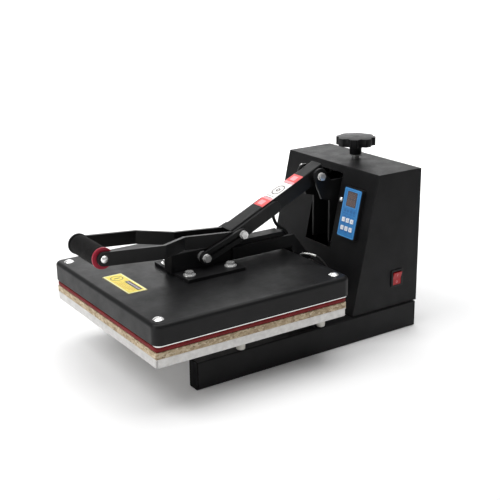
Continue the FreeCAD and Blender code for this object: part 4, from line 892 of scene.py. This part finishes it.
def rocker_marks():
    """A bar on the upper half of the rocker and a ring on the lower half."""
    stroke = bar(0.0006, 0.0026, 0.0003, 0.0, ROCKER_PRINT_T, 3, (0.0, 0.0068))
    circle = band((0.0022, 0.0022, 0.0021), (0.0014, 0.0014, 0.0013), 0.0, ROCKER_PRINT_T, 6,
                  (0.0, 0.0056))
    turn = Matrix.Translation(ROCKER_AT) @ Matrix.Rotation(math.radians(ROCKER_TILT), 4, "Y")
    for name, drawing, foot, top in (("rocker_bar", stroke, ROCKER_WAIST, ROCKER_HIGH),
                                     ("rocker_ring", circle, ROCKER_LOW, ROCKER_WAIST)):
        x, z = (top[0] - foot[0]) * MM, (top[1] - foot[1]) * MM
        up = Vector((x, 0.0, z)).normalized()
        out = Vector((z, 0.0, -x)).normalized()
        place = Matrix((Vector((0.0, 1.0, 0.0)), up, out)).transposed().to_4x4()
        foot_at = Matrix.Translation((foot[0] * MM, 0.0, foot[1] * MM))
        lay(name, [drawing], turn @ foot_at @ place, ROCKER_PRINT, "rocker", "white_plastic")


foam_sleeve()
soft_sheet("silicone_sheet", "silicone_pad", SILICONE, "base",
           corner=0.003, bulge=0.0009, droop=0.0008, waves=0.0003)
soft_sheet("wool_blanket", "insulation", WOOL, "head",
           corner=0.012, bulge=0.003, droop=0.004, waves=0.002)
leads()
cover_label()
lever_sticker()
controller_prints()
rocker_marks()


# ---------------------------------------------------------------- stage, light and camera
def stage():
    """White floor that turns up into a wall, square to the camera's heading."""
    look = Look("floor")
    patch = look.span(look.noise(3.0, 2.0), 0.0, 1.0)
    look.colour(look.mix(patch, (0.93, 0.93, 0.93), (0.95, 0.95, 0.95)))
    look.rough(look.span(look.noise(8.0, 2.0), 0.75, 0.85))
    mesh = bpy.data.meshes.new("floor")
    rows = [(-FLOOR_HALF, 0.0), (FLOOR_BACK, 0.0)]
    for k in range(1, 11):
        a = math.radians(9 * k)
        rows.append((FLOOR_BACK + FLOOR_BEND * math.sin(a), FLOOR_BEND - FLOOR_BEND * math.cos(a)))
    rows.append((FLOOR_BACK + FLOOR_BEND, WALL_TOP))
    turn = Matrix.Rotation(math.radians(CAMERA_AZIMUTH), 4, "Z")
    verts = [turn @ Vector((side * FLOOR_HALF, y, z)) for y, z in rows for side in (-1, 1)]
    faces = [(2 * k, 2 * k + 1, 2 * k + 3, 2 * k + 2) for k in range(len(rows) - 1)]
    mesh.from_pydata([tuple(v) for v in verts], [], faces)
    for face in mesh.polygons:
        face.use_smooth = True
    floor = bpy.data.objects.new("floor", mesh)
    bpy.context.collection.objects.link(floor)
    mesh.materials.append(look.mat)


def lights():
    """Soft white boxes round the press, one for the backdrop, and an even white world."""
    world = bpy.data.worlds.new("studio")
    world.use_nodes = True
    background = world.node_tree.nodes["Background"]
    background.inputs["Color"].default_value = (1.0, 1.0, 1.0, 1.0)
    background.inputs["Strength"].default_value = WORLD_STRENGTH
    bpy.context.scene.world = world
    for name, (at, target, size, power) in LIGHTS.items():
        data = bpy.data.lights.new(name, "AREA")
        data.shape = "RECTANGLE"
        data.size, data.size_y = size
        data.energy = power
        lamp = bpy.data.objects.new(name, data)
        bpy.context.collection.objects.link(lamp)
        lamp.location = at
        lamp.rotation_mode = "QUATERNION"
        lamp.rotation_quaternion = (Vector(target) - Vector(at)).to_track_quat("-Z", "Y")
    bpy.context.scene.view_settings.view_transform = "Standard"


def camera():
    """Camera at the solved place, turned by azimuth, elevation and roll."""
    az, el, roll = (math.radians(v) for v in (CAMERA_AZIMUTH, CAMERA_ELEVATION, CAMERA_ROLL))
    back = Vector((math.sin(az) * math.cos(el), -math.cos(az) * math.cos(el), math.sin(el)))
    right = Vector((math.cos(az), math.sin(az), 0.0))
    up = back.cross(right)
    side = right * math.cos(roll) + up * math.sin(roll)
    head = up * math.cos(roll) - right * math.sin(roll)
    data = bpy.data.cameras.new("camera")
    data.lens = LENS
    data.sensor_width = SENSOR
    data.clip_start, data.clip_end = CLIP
    cam = bpy.data.objects.new("camera", data)
    bpy.context.collection.objects.link(cam)
    turn = Matrix((side, head, back)).transposed()
    cam.matrix_world = Matrix.Translation(CAMERA_AT) @ turn.to_4x4()
    bpy.context.scene.camera = cam


stage()
lights()
camera()
